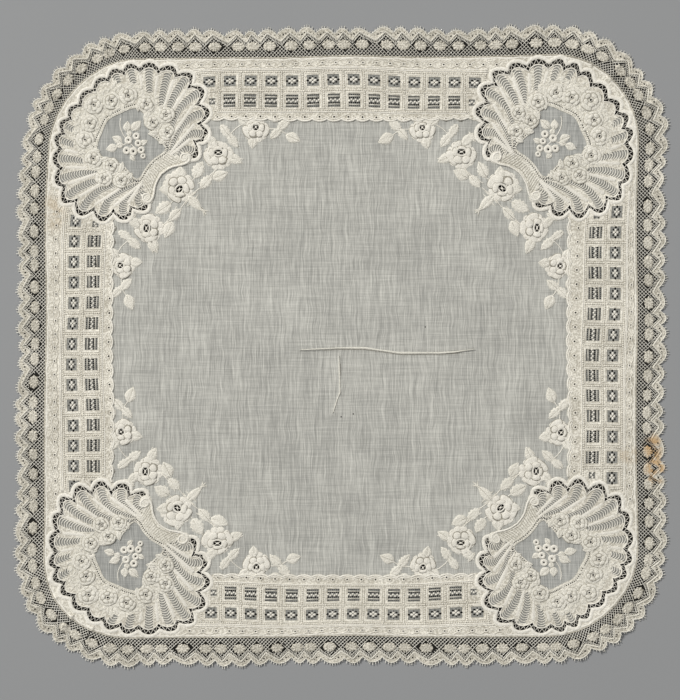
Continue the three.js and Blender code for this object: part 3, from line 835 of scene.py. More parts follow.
# %% What lies on a shell
def inside(points, outline):
    """Which points lie inside a closed outline."""
    points, outline = np.asarray(points, float).reshape(-1, 2), np.asarray(outline, float)
    x, y = points[:, 0:1], points[:, 1:2]
    ax, ay = outline[:, 0], outline[:, 1]
    bx, by = np.roll(ax, -1), np.roll(ay, -1)
    with np.errstate(divide="ignore", invalid="ignore"):
        crosses = ((ay > y) != (by > y)) & (x < (bx - ax) * (y - ay) / (by - ay) + ax)
    return crosses.sum(1) % 2 == 1


# The hinge is a V whose two arms end in volutes: its line from the middle to one volute.
HINGE_LINE = [(-31, 0), (-32, 4), (-33.4, 8.2), (-35.4, 11.4), (-37.4, 14.2), (-39, 17.4)]
EDGE = np.concatenate([shell_rim(np.linspace(0, LOBES, LOBES * 10 + 1), 4.0)[0], HINGE_LINE[::-1],
                       np.array(HINGE_LINE[1:]) * (1, -1)])
EDGES = {quarter: in_quarter(quarter, EDGE) for quarter in QUARTERS}


def on_shell(points):
    """Which points of the square lie on one of the four shells."""
    points = np.asarray(points, float).reshape(-1, 2)
    found = np.zeros(len(points), bool)
    for quarter, edge in EDGES.items():
        here = (points * quarter > 0).all(1)
        found[here] = inside(points[here], edge)
    return found


print("the edge of a shell has", len(EDGE), "points")

# %% [markdown]
# The whole embroidery is one cloth, so one flat drawing gives all of it: the outline of the lawn, of
# every shell, window and eyelet. A Delaunay triangulation that respects every line turns the drawing
# into faces, and each face knows which outlines it lies in. So one rule tells whether it is a hole,
# sheer lawn, thinned lawn or close stitching.

# %% Drawing the cloth
drawing = []


def outline(kind, points):
    """Adds a closed outline, walked counter-clockwise, which is how the triangulation tells its inside."""
    points = np.asarray(points, float)
    (x, y), (xn, yn) = points.T, np.roll(points, -1, 0).T
    drawing.append((kind, points if (x * yn - xn * y).sum() > 0 else points[::-1]))


RIM_STEPS = 620
outline("cloth", round_rim(np.linspace(0, 1, RIM_STEPS, endpoint=False), 0))

# The clear lawn in the middle, with one small scallop of the border for each of its eyelets.
CLEAR, SCALLOPS_A_SIDE, SCALLOP_RISE = 155.5, 32, 1.5
INNER_PITCH = 2 * CLEAR / SCALLOPS_A_SIDE
t = np.linspace(0, SCALLOPS_A_SIDE, SCALLOPS_A_SIDE * 8, endpoint=False)
along = -CLEAR + INNER_PITCH * t
reach = CLEAR - 0.2 - SCALLOP_RISE * np.abs(np.sin(math.pi * t)) ** 0.7
turned = [(along, -reach), (reach, along), (-along, reach), (-reach, -along)]
CLEAR_EDGE = np.concatenate([np.stack(pair, -1) for pair in turned])
outline("clear", CLEAR_EDGE)
print("the clear lawn has", len(CLEAR_EDGE), "points")

# %% [markdown]
# In the middle of a shell a shield of sheer lawn is left open for a sprig of leaves. Round it lies
# the even ground of the garland, which reaches down the neck to the hinge. A smooth curve through a
# few chosen points draws both.

# %% The shield and the neck
# The sheer shield of a shell: one side of it, and the other mirrored.
SHIELD_SIDE = [(18, 9), (14.6, 16.5), (10.8, 21.4), (7, 21.8), (1.5, 19.6), (-6.5, 14.8), (-13, 14.6),
               (-19.5, 15.2), (-22, 12.8), (-20.4, 5)]
SHIELD = [(20.8, 0)] + SHIELD_SIDE + [(-20, 0)] + [(u, -v) for u, v in SHIELD_SIDE[::-1]]


def rounded(points, steps=6):
    """A closed smooth line through these points, with this many steps from each to the next."""
    a, b, c, d = (np.roll(np.array(points, float), by, 0)[:, None] for by in (1, 0, -1, -2))
    s = (np.arange(steps) / steps)[:, None]
    curve = 2 * b + (c - a) * s + (2 * a - 5 * b + 4 * c - d) * s**2 + (3 * b - a - 3 * c + d) * s**3
    return (curve / 2).reshape(-1, 2)


shield = rounded(SHIELD)
# The ground of the garland and of the neck is worked more evenly than the rest.
angles = np.linspace(-2.42, 2.42, 50)
neck_side = [(-24, 14.6), (-29, 16.2), (-34, 16.6), (-37, 14.6), (-34.6, 11), (-32.6, 8), (-31.3, 4),
             (-30.6, 0)]
neck_outline = neck_side + [(u, -v) for u, v in neck_side[-2::-1]]
GARLAND_EDGE = np.concatenate([np.stack([8 + 32 * np.cos(angles), 35 * np.sin(angles)], -1), neck_outline])
print("the shield has", len(shield), "points")

# %% [markdown]
# The rim of a shell is an openwork band, and between its ribs the cloth is thinned to sheer flutes.
# Each flute is as wide as its lobe at the rim, and narrows to the hinge. They are drawn with the
# rest, so that the cut goes round them.

# %% Bands and flutes
BAND = 1.5  # half the width of the openwork band of the rim
lobe_steps = np.linspace(0, LOBES, LOBES * 12 + 1)
band = np.concatenate([shell_rim(lobe_steps, BAND)[0], shell_rim(lobe_steps, -BAND)[0][::-1]])
flutes = []
SHORTEST = 5  # a rib or a flute with less room than this is left out, under the roses
for lobe in range(LOBES):
    line = ray(lobe + 0.5, -2.3)
    far = np.linalg.norm(line - HINGE, axis=1)
    if np.linalg.norm(line[-1] - line[0]) > SHORTEST:
        flutes.append((line, 2.8 * (far / far[0]) ** 0.6))
for quarter in QUARTERS:
    outline("shell", in_quarter(quarter, EDGE))
    outline("shield", in_quarter(quarter, shield))
    outline("garland", in_quarter(quarter, GARLAND_EDGE))
    outline("hole", in_quarter(quarter, band))
    for line, halves in flutes:
        ahead = np.gradient(line, axis=0)
        side = np.stack([-ahead[:, 1], ahead[:, 0]], -1) / np.linalg.norm(ahead, axis=1, keepdims=True)
        left, right = line + side * halves[:, None], line - side * halves[:, None]
        outline("flute", in_quarter(quarter, np.concatenate([left[::3], right[::-3]])))
print(len(drawing), "outlines;", len(flutes), "flutes in each shell")

# %% [markdown]
# Each window is a small square of lawn whose threads were drawn out and bound again: in the outer
# row round a star, and in the inner row as a ladder of four lines of pinholes. A transparent
# picture could show the holes, but cut holes have an edge that catches the light.

# %% Windows and eyelets
# Pinholes of each kind of window: along, across, half length, half width. A part window stands at
# each end of the inner row, where there is no room for a whole one.
HOLES = {
    "star": [(3.5, 0, 0.95, 0.75), (-3.5, 0, 0.95, 0.75), (0, 0, 0.36, 0.3), (0, 2.5, 0.6, 0.42),
             (0, -2.5, 0.6, 0.42)] + [(1.95 * sx, 1.6 * sy, 0.9, 0.6) for sx in (1, -1) for sy in (1, -1)],
    "ladder": [(-3.3 + 1.32 * i, row, 0.58, high)
               for row, high in ((-3.75, 0.34), (-1.5, 0.78), (1.5, 0.78), (3.6, 0.34)) for i in range(6)],
    "part": [(-1.4 + 1.4 * i, row, 0.42, 0.42) for row in (-1.3, 1.2) for i in range(3)],
}
SIZES = {"star": (4.1, 3.7), "ladder": (4.2, 4.4), "part": (2.2, 2.2)}
WINDOWS = []  # side, along, inward, kind
for side in SIDES:
    WINDOWS += [(side, (i - 6.5) * PITCH, 0.0, "star") for i in range(14)]
    WINDOWS += [(side, (i - 5.5) * PITCH, ROW_GAP, "ladder") for i in range(12)]
    WINDOWS += [(side, sign * 6.35 * PITCH, ROW_GAP, "part") for sign in (1, -1)]


def add_holes(points, shapes, turn):
    """Draws an oval hole at each point."""
    for (x, y), (a, b) in zip(points, shapes):
        outline("hole", oval(x, y, a, b, turn, 6))


for side, along, inward, kind in WINDOWS:
    half_a, half_b = SIZES[kind]
    a, b = np.transpose([(-1, -1), (0, -1), (1, -1), (1, 0), (1, 1), (0, 1), (-1, 1), (-1, 0)])
    corners = border(side, along + a * half_a * (1 - 0.06 * (b == 0)), inward + b * half_b)
    outline("window", corners)
    holes = np.array(HOLES[kind])
    spots = border(side, along + holes[:, 0], inward + holes[:, 1])
    keep = ~on_shell(spots)
    add_holes(spots[keep], holes[keep, 2:], side_turn(side))

EYELET = 0.62  # radius of its hole
LEFT_SHIFT = {side: -0.6 if side == "left" else 0.0 for side in SIDES}  # the left hem is a little deeper
eyelets = []
for side in SIDES:
    outer = border(side, (np.arange(24) - 11.5) * EYELET_PITCH, -11.3 + LEFT_SHIFT[side])
    inner_row = 24.4 if side in ("top", "bottom") else 25.6
    inner = border(side, (np.arange(20) - 9.5) * INNER_PITCH - SIDES[side][0], inner_row)
    eyelets += [spot for spot in (*outer, *inner) if not on_shell(spot)[0] and not on_shell(spot * 1.02)[0]]
eyelets = np.array(eyelets)
add_holes(eyelets, [(EYELET, EYELET)] * len(eyelets), 0)
print(len(WINDOWS), "windows and", len(eyelets), "eyelets")

# %% [markdown]
# A rose is five padded petals round an opening that is crossed by bars, with smaller petals inside.
# The large roses of the sprays stand on the lawn, and the small ones of the garland on the shell.
# One model could be copied, but each opening lies off the middle in its own way, so the petals are
# placed from two points: the rose's middle and its eye.

# %% Roses
# Of each kind, rows of x, y, z, turn, length, width, height.
ROSES = {"shade": [], "outer": [], "inner_shade": [], "inner": [], "ring": [], "bar": [], "bead": []}
GARLAND_ROSES = {kind: [] for kind in ROSES}
LIFTS = (0, 0.32, 0.05, 0.36, 0.6)  # how high each of the five petals lies on its neighbours
RIM_PETALS = 11  # the small petals round a large rose


def way_from(root, tip):
    """How far it is from one point to another, and which way."""
    way = np.subtract(tip, root)
    return np.linalg.norm(way), math.atan2(way[1], way[0])


def rose(roses, x, y, radius, eye, opening, turn, low, first, relief, flat=1.0):
    """A rose round an eye: opening is the eye's half length and half width, turned this far. Under each
    petal lies a darker one that is a little larger, and shows as a thin line of painted shade all round it."""
    a, b = opening
    outline("hole", oval(*eye, a, b, turn, 12))
    middle, petals = np.array([x, y]), len(LIFTS)

    def round_it(angle):
        return radius * np.array([math.cos(angle), flat * math.sin(angle)])

    for i in range(petals):
        angle = first + TURN * i / petals
        tip = middle + round_it(angle)
        root, (length, facing) = eye + (tip - eye) * 0.3, way_from(eye, tip)
        base, long, wide = low + relief * LIFTS[i], length * 0.72, radius * 1.1
        roses["outer"].append((*root, base, facing, long, wide, 0.55 * relief))
        roses["shade"].append((*root, base - 0.02, facing, long + 0.4, wide + 0.8, 0.26 * relief))
        tip = middle + 0.7 * round_it(angle + TURN / petals / 2)
        root, (length, facing) = eye + (tip - eye) * 0.42, way_from(eye, tip)
        base, long, wide = low + relief * (0.75 + 0.4 * LIFTS[i]), length * 0.6, radius * 0.64
        roses["inner"].append((*root, base, facing, long, wide, 0.45 * relief))
        base -= 0.03 * relief
        roses["inner_shade"].append((*root, base, facing, long + 0.35, wide + 0.6, 0.22 * relief))
    roses["ring"].append((*eye, low + 0.6 * relief, turn, a * 1.34, b * 1.4, 0.6 * relief))
    if a < 1:
        return
    for i in range(RIM_PETALS):
        angle = first + TURN * (i + 0.5) / RIM_PETALS
        root, long, wide = middle + 0.58 * round_it(angle), radius * 0.5, radius * 0.52
        roses["outer"].append((*root, low + 0.02, angle, long, wide, 0.5 * relief))
        roses["shade"].append((*root, low, angle, long + 0.35, wide + 0.6, 0.25 * relief))
    for tip in oval(*eye, a * 1.1, b * 1.1, turn, 8)[1::2]:
        length, facing = way_from(eye, tip)
        roses["bar"].append((*eye, low, facing, length, 0.36, 0.3))
    roses["bead"].append((*eye, low, turn, a * 0.3, b * 0.34, 0.5))


print("a large rose has", 2 * len(LIFTS) + RIM_PETALS, "petals")

# %% [markdown]
# In each corner there are five large roses, two pairs and one on the diagonal, and a garland of
# small ones on the shell. Only their middles and sizes are written down. The two halves of a corner
# mirror each other, so one list serves both.

# %% Setting out the roses
# Small roses of a garland, by u, v and radius; those off the middle stand on both sides of it.
GARLAND = [(36, 0, 6.8), (28.6, 10.6, 6.2), (21.8, 22.4, 6.4), (8.2, 28, 6.2), (-3, 21.8, 5.6),
           (-7, 32.6, 5.8), (-15.4, 23.8, 5.6)]
# Large roses of a spray: x, y, radius, the opening's half length and half width, its turn.
SPRAY_ROSES = [(82.7, 130.8, 9.4, (3.7, 2.2), 0.0), (56.6, 147.6, 8.2, (2.4, 2.7), 0.1)]
ROSE_LOW, EYE_SHIFT = 0.85, 2.1  # the foot of a large rose, and how far its eye lies off its middle
for quarter in QUARTERS:
    sx, sy = quarter
    for u, v, radius in GARLAND:
        for v in {v, -v}:
            spot = in_quarter(quarter, (u, v))
            first = math.atan2(spot[1], spot[0]) + u
            rose(GARLAND_ROSES, *spot, radius, spot, (0.95, 0.75), 0.6 * sx * sy, LOW, first, 0.7, 0.9)
    for x, y, radius, opening, turn in SPRAY_ROSES:
        turn *= sx * sy
        eye = np.array([sx * x, sy * (y + EYE_SHIFT)])
        rose(ROSES, sx * x, sy * y, radius, eye, opening, turn, ROSE_LOW, math.atan2(-sy, 0), 0.8, 0.92)
        eye = np.array([sx * (y + EYE_SHIFT), sy * x])
        first = math.atan2(0, -sx)
        rose(ROSES, sx * y, sy * x, radius * 0.97, eye, opening[::-1], -turn, ROSE_LOW, first, 0.8)
    facing = math.atan2(sy, sx)
    eye, turn, first = np.array([sx * 109.8, sy * 108.4]), facing + math.pi / 2, facing + math.pi
    rose(ROSES, sx * 110.4, sy * 110.4, 10.0, eye, (3.4, 2.1), turn, ROSE_LOW, first, 0.8)
print({kind: len(rows) + len(GARLAND_ROSES[kind]) for kind, rows in ROSES.items()})

# Three places where the old lawn is worn through.
for spot in before_pinning([(0.1, -47.7), (8.3, -45.7), (57.3, 13.4)]):
    outline("hole", oval(*spot, 0.5, 0.5, 0, 7))

# %% [markdown]
# Now the drawing is cut, and each face is given the kind of cloth that it lies in. The lawn also
# gets a loose grid of points, and extra ones beside each crease, because long thin faces cannot
# bend.

# %% Cutting the cloth
def crease_points():
    """Extra points beside each crease, so that the lawn can bend there."""
    extra = []
    for width, _, points in CREASES:
        for (ax, ay), (bx, by) in zip(points, points[1:]):
            dx, dy = bx - ax, by - ay
            length = math.hypot(dx, dy)
            for s in np.linspace(0, 1, max(2, int(length / 1.6)), endpoint=False):
                for off in (-1.8, -0.9, -0.35, 0.35, 0.9, 1.8):
                    shift = off * width / length
                    extra.append((ax + dx * s - dy * shift, ay + dy * s + dx * shift))
    return extra


def cut(drawing):
    """The points and faces of the drawing, and what kind of cloth each face is."""
    corners, shapes = [], []
    for kind, points in drawing:
        shapes.append(list(range(len(corners), len(corners) + len(points))))
        corners += [Vector(point) for point in points.tolist()]
    grid = np.mgrid[-195:196:5.5, -195:196:5.5].reshape(2, -1).T
    corners += [Vector(point) for point in grid.tolist() if abs(point[0]) + abs(point[1]) < 330]
    corners += [Vector(point) for point in crease_points()]
    points, _, faces, _, _, owners = delaunay_2d_cdt(corners, [], shapes, 1, 1e-4)
    kinds = []
    for owner in owners:
        names = {drawing[i][0] for i in owner}
        shell = "shell" in names
        rules = [("outside", "cloth" not in names), ("hole", "hole" in names),
                 ("drawn", "flute" in names or "window" in names and not shell), ("thin", "shield" in names),
                 ("garland", "garland" in names), ("close", shell or "clear" not in names), ("sheer", True)]
        kinds.append(next(kind for kind, fits in rules if fits))
    return np.array([tuple(point) for point in points]), faces, kinds


flat_points, flat_faces, flat_kinds = cut(drawing)
print(len(flat_faces), "faces:", {kind: flat_kinds.count(kind) for kind in set(flat_kinds)})

# %% [markdown]
# Close stitching is thicker than lawn, and a hole has depth. Faces at different heights would leave
# open steps, so each step gets a wall, and one mesh carries all the finishes. Cutting more than a
# thousand holes with a Boolean would be slow and fragile. Each hole has a nearly black floor and walls.
# Real cloth has none: the black is painted shade, and it stands in for a dark table too, because over a
# grey one the holes would be too pale.

# %% Levels and walls
# Of each kind: the height that it lies at, and the number of its finish.
LEVELS = {"close": Z["stitched"], "garland": Z["stitched"], "sheer": Z["lawn"], "thin": Z["lawn"],
          "drawn": Z["lawn"], "hole": Z["hole"], "outside": Z["hole"]}
NUMBERS = {"sheer": 0, "close": 1, "drawn": 2, "hole": 3, "thin": 4, "garland": 5}


def cloth_mesh():
    """All faces of the cloth at their levels, with walls where the level drops. The floor and the
    walls of a hole have a dark finish of their own, which is painted shade."""
    points, faces, numbers, known = [], [], [], {}

    def corner(index, height, kind):
        key = (index, height, kind)
        if key not in known:
            known[key] = len(points)
            points.append((*flat_points[index], height))
        return known[key]

    beside = {}
    for face, kind in zip(flat_faces, flat_kinds):
        for i, a in enumerate(face):
            beside[(a, face[(i + 1) % len(face)])] = kind
    for face, own in zip(flat_faces, flat_kinds):
        if own == "outside":
            continue
        level = LEVELS[own]
        faces.append([corner(i, level, own) for i in face])
        numbers.append(NUMBERS[own])
        for i, a in enumerate(face):
            b = face[(i + 1) % len(face)]
            other = beside.get((b, a), "outside")
            if LEVELS[other] < level:
                low, wall = LEVELS[other], "hole" if other == "hole" else own
                around = ((a, low), (b, low), (b, level), (a, level))
                faces.append([corner(index, height, wall) for index, height in around])
                numbers.append(NUMBERS[wall])
    mesh = drawn_mesh("cloth", points, faces)
    mesh.polygons.foreach_set("material_index", numbers)
    return mesh


holes = sum(kind == "hole" for kind, _ in drawing)
print(holes, "holes are cut")
lawn_parts = (STITCHED, DRAWN, HOLE_SHADE, THIN_LAWN, GARLAND_GROUND)
lawn_cloth = laid_down("lawn_cloth", cloth_mesh(), LAWN, parts=lawn_parts)

# %% [markdown]
# The roses are set out by the first tree, one call for each kind of petal, so that every kind is
# one piece with one finish. The shading is a flat, darker petal under each real one. It draws the
# thin line of shade that a needle pulls between two petals.

# %% Stitching the roses
for name, roses, finish, shade in (("rose", ROSES, SATIN, SHADE_LINE),
                                   ("garland", GARLAND_ROSES, LEAF_STITCH, SOFT_SHADE_LINE)):
    stitches(f"{name}_shading", PLAIN_PETAL, roses["shade"] + roses["inner_shade"], shade)
    stitches(f"{name}_petals", PETAL, roses["outer"], finish)
    stitches(f"{name}_hearts", PLAIN_PETAL, roses["inner"], finish)
    stitches(f"{name}_rings", EYE_RING, roses["ring"], SATIN)
stitches("rose_bars", BAR, ROSES["bar"], CORD)
stitches("rose_knots", BEAD, ROSES["bead"], CORD)

# %% [markdown]
# Leaves and buds are satin stitch too, laid from their stalk to their tip, some of them with
# toothed edges. Each is a row of numbers: where it begins, where it ends and how wide it is. Half
# of a spray is enough.

# %% Leaves, buds and stems
# Leaves of a spray: stalk x, y, tip x, y, width, and the form: p for plain, t for toothed.
SPRAY_LEAVES = [
    (58.5, 143.1, 59.5, 134.6, 6.5, "p"), (61.5, 151.3, 69, 156.7, 5.4, "p"),
    (80.6, 151.3, 74, 142, 5.4, "t"), (75.6, 144.6, 68.3, 135.7, 6.2, "t"),
    (83.6, 137, 91.1, 144.8, 5.8, "p"), (75.8, 130.6, 66, 125.5, 6.5, "p"),
    (87, 115.3, 76.2, 120.4, 7.5, "p"), (88.1, 117, 95.9, 108.8, 6.5, "t"),
    (99.3, 115.9, 93.2, 126.8, 7.6, "t"), (41.8, 148.2, 33.7, 155.4, 5.8, "t"),
    (40.1, 148.9, 47.3, 141.1, 5.8, "t"), (36.7, 144.8, 26.2, 140.8, 7.1, "p"),
    (108.5, 114, 108.5, 124.1, 7.5, "p"), (47.5, 156.2, 41.5, 153.5, 3.2, "p"),
    (92.5, 139.5, 87.5, 146.5, 3.2, "p"),
]
# Stems of a spray: start, through, end.
SPRAY_STEMS = [
    ((84, 122), (90, 116), (97, 112)), ((66, 128), (72, 130), (78, 132)),
    ((41, 148.5), (48, 149), (52, 148)), ((85, 121.5), (87, 118.5), (88, 116)),
    ((36, 145), (39, 147), (41, 148.5)), ((96, 109), (100, 106), (103, 103)),
    ((63, 152), (70, 151), (76, 142)), ((99, 116), (101, 114), (104, 112)),
]
# Thin buds of a spray: foot x, y, tip x, y.
SPRAY_BUDS = [(103, 103, 97.5, 106.5), (101, 100, 96.5, 105), (96, 94.2, 89.6, 93.2)]
BUD = (1.1, 0.9, 0.45)  # its width, foot and height
# Leaves of a garland that reach into the shield, on both sides: foot u, v, tip u, v.
REACHING = [(-10.5, 19, -5.5, 12.8), (3.6, 25, 2.2, 17.6), (13, 25, 9.4, 19.4), (-18, 19.6, -15.6, 13.2)]
leaves = {"p": [], "t": []}
stems = []
PLUMPER = 1.16  # a stitched leaf of a spray is this much wider than it was drawn


def leaf(form, stalk, tip, width, low=0.85, height=0.75):
    """Adds a leaf from its stalk to its tip."""
    length, facing = way_from(stalk, tip)
    leaves[form].append((*stalk, low, facing, length, width, height))


print(len(SPRAY_LEAVES), "leaves and", len(SPRAY_STEMS), "stems in half a spray")

# %% [markdown]
# Between the roses of the garland the ground is full of small leaves that lie every way. A scatter
# on the surface would do it, but a grid whose places are shaken by a seeded chance never lets two
# leaves fall on one spot.

# %% Filling the garland
# Small leaves fill the garland between its roses, turned by chance.
chance = np.random.default_rng(5)
filling = []
for u in np.arange(-20, 42, 3.3):
    for v in np.arange(-36, 37, 3.3):
        spot = np.array([u, v]) + chance.uniform(-1.2, 1.2, 2)
        turn, long = chance.uniform(0, TURN), chance.uniform(3.2, 4.8)
        if under_roses(spot) and not inside(spot, shield * 1.14)[0]:
            if min(math.hypot(u - a, abs(v) - b) - radius * 0.75 for a, b, radius in GARLAND) > 0:
                filling.append((spot, turn, long))
for quarter in QUARTERS:
    for spot, turn, long in filling:
        x, y = in_quarter(quarter, spot)
        leaves["p"].append((x, y, 1.15, turn * quarter[0] * quarter[1], long, long * 0.5, 0.5))
    for u, v, tip_u, tip_v in REACHING:
        for side in (1, -1):
            foot, tip = in_quarter(quarter, [(u, side * v), (tip_u, side * tip_v)])
            leaf("p", foot, tip, 4.4, Z["stitched"], 0.5)
print(len(filling), "leaves fill each garland")

# %% [markdown]
# A spray is the same on both sides of the corner's diagonal. Half of it is drawn, and a small
# function turns each place into all eight.

# %% The sprays
def stem(start, through, end):
    """Adds a bent stem."""
    stems.append(path_at(bowed(start, through, end, 7), 1.0))


for sx, sy in QUARTERS:
    for swap in (False, True):
        def put(x, y):
            return (sx * y, sy * x) if swap else (sx * x, sy * y)
        for x, y, tip_x, tip_y, width, form in SPRAY_LEAVES:
            leaf(form, put(x, y), put(tip_x, tip_y), PLUMPER * width)
        for start, through, end in SPRAY_STEMS:
            stem(put(*start), put(*through), put(*end))
        for x, y, tip_x, tip_y in SPRAY_BUDS:
            leaf("p", put(x, y), put(tip_x, tip_y), *BUD)
    leaf("p", (sx * 104, sy * 104), (sx * 93.6, sy * 93.6), 7.0)
    leaf("p", (sx * 95, sy * 95), (sx * 90.5, sy * 90.5), *BUD)


print(len(stems), "stems so far")

# %% [markdown]
# Each shield holds a sprig: leaves round a few berries, which are rings whose eye is a flat dark disc
# of painted shade. A sprig has no symmetry of its own, so its leaves are listed one by one. With the
# sprigs in place, all the leaves can be laid.

# %% The sprig in the shield
# The sprig in each shield, measured from the shell's middle. Leaves: stalk x, y, tip x, y, width.
SPRIG_LEAVES = [
    (1.8, 7, 1.2, 14.2, 6.2), (-1.6, 7.8, -8.2, 13.8, 6.4), (5, 0.4, 12.6, 3.6, 6.2),
    (8.6, -2.8, 16.6, -4.8, 6.2), (4.4, -1, 9.6, -2.6, 4.6), (-0.6, -8.6, -4, -12.6, 4.2),
    (-7.6, -1.6, -12.6, 0.8, 4.4), (-0.4, 3.8, 0.8, 8.4, 4.4),
]
SPRIG_STEMS = [((6, 16), (8, 9), (2, 2)), ((2, 2), (-2, -2), (-8, -8)), ((9, -3), (5, -2), (0, 0))]
# Berries: x, y, radius.
BERRIES = [(0.7, 1.4, 2.73), (-4.8, 4.1, 2.73), (-6.1, -0.7, 2.47), (2, -5.4, 2.86), (-2.7, -6.1, 2.99),
           (-8.2, -5.4, 2.6), (-9.5, -9.5, 2.08)]
EYE_SHARE = 0.3 / 1.3  # of a berry's radius
berry_rings, berry_eyes = [], []
for sx, sy in QUARTERS:

    def from_middle(dx, dy):
        return (sx * (SHELL_X + dx), sy * (SHELL_Y + dy))

    for x, y, tip_x, tip_y, width in SPRIG_LEAVES:
        leaf("p", from_middle(x, y), from_middle(tip_x, tip_y), width)
    for dx, dy, radius in BERRIES:
        berry_rings.append((*from_middle(dx, dy), 0.9, 0, radius, radius, 0.8))
        berry_eyes.append((*from_middle(dx, dy), 0.97, 0, radius * EYE_SHARE, radius * EYE_SHARE, 0.06))
    for points in SPRIG_STEMS:
        stem(*(from_middle(*point) for point in points))
stitches("leaves", LEAF, leaves["p"], LEAF_STITCH)
stitches("toothed_leaves", TOOTHED_LEAF, leaves["t"], LEAF_STITCH)
# Each vein is a dark bar in the dip of a leaf: painted shade.
vein_shades = []
for x, y, low, facing, long, width, height in leaves["p"] + leaves["t"]:
    if width > 2.6:
        foot = (x + 0.1 * long * math.cos(facing), y + 0.1 * long * math.sin(facing))
        vein_shades.append((*foot, low + 0.38 * height, facing, 0.78 * long, 0.42, 0.1))
stitches("leaf_veins", BAR, vein_shades, SHADE_LINE)
stitches("berries", BERRY, berry_rings, SATIN)
# The eye of a berry is a flat dark disc: painted shade.
stitches("berry_eyes", KNOT, berry_eyes, HOLE_SHADE)
threads("stems", stems, 0.36, CORD)

# %% [markdown]
# In a shell, dense ribs run from the dips of the rim towards the hinge. The flutes between them are
# sheer, with curved rows of stitches across. A zigzag thread crosses the openwork band of the rim.
# All of them follow lines that the shell already has, so nothing here is listed point by point but the
# curl of a volute.

# %% Ribs, flutes and rims of the shells
# The cord of a volute after the hinge's line, in (u, v), and the middle and radius of its padding.
CURL = [(-39.6, 20.6), (-37.6, 22.6), (-34.8, 22.2), (-33.2, 19.8), (-34.2, 17.4), (-36.4, 17),
        (-37.6, 18.8), (-36.4, 20)]
PAD_U, PAD_V, PAD = -37.6, 20.2, 4.0
SCROLL = rounded([(-27, 3), (-31, 0)] + HINGE_LINE[1:] + CURL, 5)[5:70]
ribs, arcs, rims, edges, scrolls, volutes, neck_lines = [], [], [], [], [], [], []


def flute_arcs(line, halves):
    """The curved rows of stitches across a flute."""
    far = lengths(line)
    for at in np.arange(1.2, far[-1] - 0.4, 1.75):
        spot, ahead = spots_along(line, [at, at + 0.3])
        inward = (ahead - spot) / np.linalg.norm(ahead - spot)
        side = np.array([-inward[1], inward[0]])
        s = np.linspace(-1, 1, 7)[:, None]
        yield spot + side * s * (np.interp(at, far, halves) + 0.2) + inward * 1.5 * s**2


for quarter in QUARTERS:
    for lobe in range(1, LOBES):
        line = ray(lobe, -3.0)
        length = np.linalg.norm(line[-1] - line[0])
        if length > SHORTEST:
            root, tip = in_quarter(quarter, line[[0, -1]])
            ribs.append((*root, LOW, way_from(root, tip)[1], length, 2.4, 0.22))
    for flute in flutes:
        arcs += [path_at(in_quarter(quarter, arc), 1.12) for arc in flute_arcs(*flute)]
    fine = np.linspace(0, LOBES, LOBES * 9 + 1)
    for outward, half, height in ((2.9, 1.3, 0.42), (-1.95, 0.4, 0.42)):
        path = in_quarter(quarter, shell_rim(fine, outward)[0])
        edges.append(strip(path, np.full(len(path), half), LOW, height))
    zigzag = np.arange(0.06, LOBES - 0.06, 0.11)
    path = shell_rim(zigzag, BAND * (-1.0) ** np.arange(len(zigzag)))[0]
    rims.append(path_at(in_quarter(quarter, path), 1.05))
    for side in (1, -1):
        halves = np.interp(np.linspace(0, 1, len(SCROLL)), [0, 0.45, 0.8, 1], [0.5, 0.85, 0.7, 0.35])
        scrolls.append(strip(in_quarter(quarter, SCROLL * (1, side)), halves, 1.25, 0.75))
        inner = np.array(HINGE_LINE) * (1, side) + (1.9, 0)
        neck_lines.append(path_at(in_quarter(quarter, inner), Z["stitched"]))
        volutes.append((*in_quarter(quarter, (PAD_U, PAD_V * side)), 0.9, 0, PAD, PAD, 0.9))
    for across in np.arange(-12.8, 12.9, 1.6):
        wide = 1.22 * across
        foot = np.interp(abs(wide), [0, 8.2, 14.2, 17.4], [-29.4, -31.6, -35.4, -36.6])
        stripe = bowed((-24.6, across), (-27.5, across), (foot, wide), 5)
        neck_lines.append(path_at(in_quarter(quarter, stripe), Z["stitched"]))
stitches("shell_ribs", RIB, ribs, SATIN)
threads("flute_rows", arcs, 0.33, CORD)
threads("rim_openwork", rims, 0.42, CORD)
laid_down("shell_edges", drawn_mesh("edges", *joined(edges)), CORD)
laid_down("scrolls", drawn_mesh("scrolls", *joined(scrolls)), CORD)
stitches("volutes", VOLUTE, volutes, LEAF_STITCH)
# The lines of the neck are thin threads of soft painted shade.
threads("neck_lines", neck_lines, 0.2, SOFT_SHADE_LINE, sides=3)

# %% [markdown]
# The border's ground is framed with rows of tiny knots, and with smooth cords couched along its
# edges. They stop where a shell begins. A path is cut into the stretches that are off the shells,
# and each stretch is worked by itself.

# %% Knots and cords of the border
def runs(points, keep):
    """The stretches of a path whose points are kept."""
    points, stretch, found = np.asarray(points, float), [], []
    for point, kept in zip(points, keep):
        if kept:
            stretch.append(point)
        elif stretch:
            found.append(np.array(stretch))
            stretch = []
    if stretch:
        found.append(np.array(stretch))
    return [run for run in found if len(run) > 1]


def off_shell(path):
    """The stretches of a path that are clear of the shells."""
    return runs(path, ~on_shell(path) & ~on_shell(np.asarray(path) * 1.008))


# A window's frame: a square whose corners are cut off, in shares of its half size.
CUT = 0.33
FRAME = [(-1, -1), (-CUT, -1), (CUT, -1), (1, -1), (1, -CUT), (1, CUT), (1, 1), (CUT, 1), (-CUT, 1), (-1, 1),
         (-1, CUT), (-1, -CUT), (-1, -1)]
FRAME_ALONG, FRAME_ACROSS = 5.45, {"star": 4.9, "ladder": 5.3}
KNOT_PITCH, KNOT_SIZE = 1.5, 0.56
knots, cords, ridges, frames, shade_lines = [], [], [], [], []


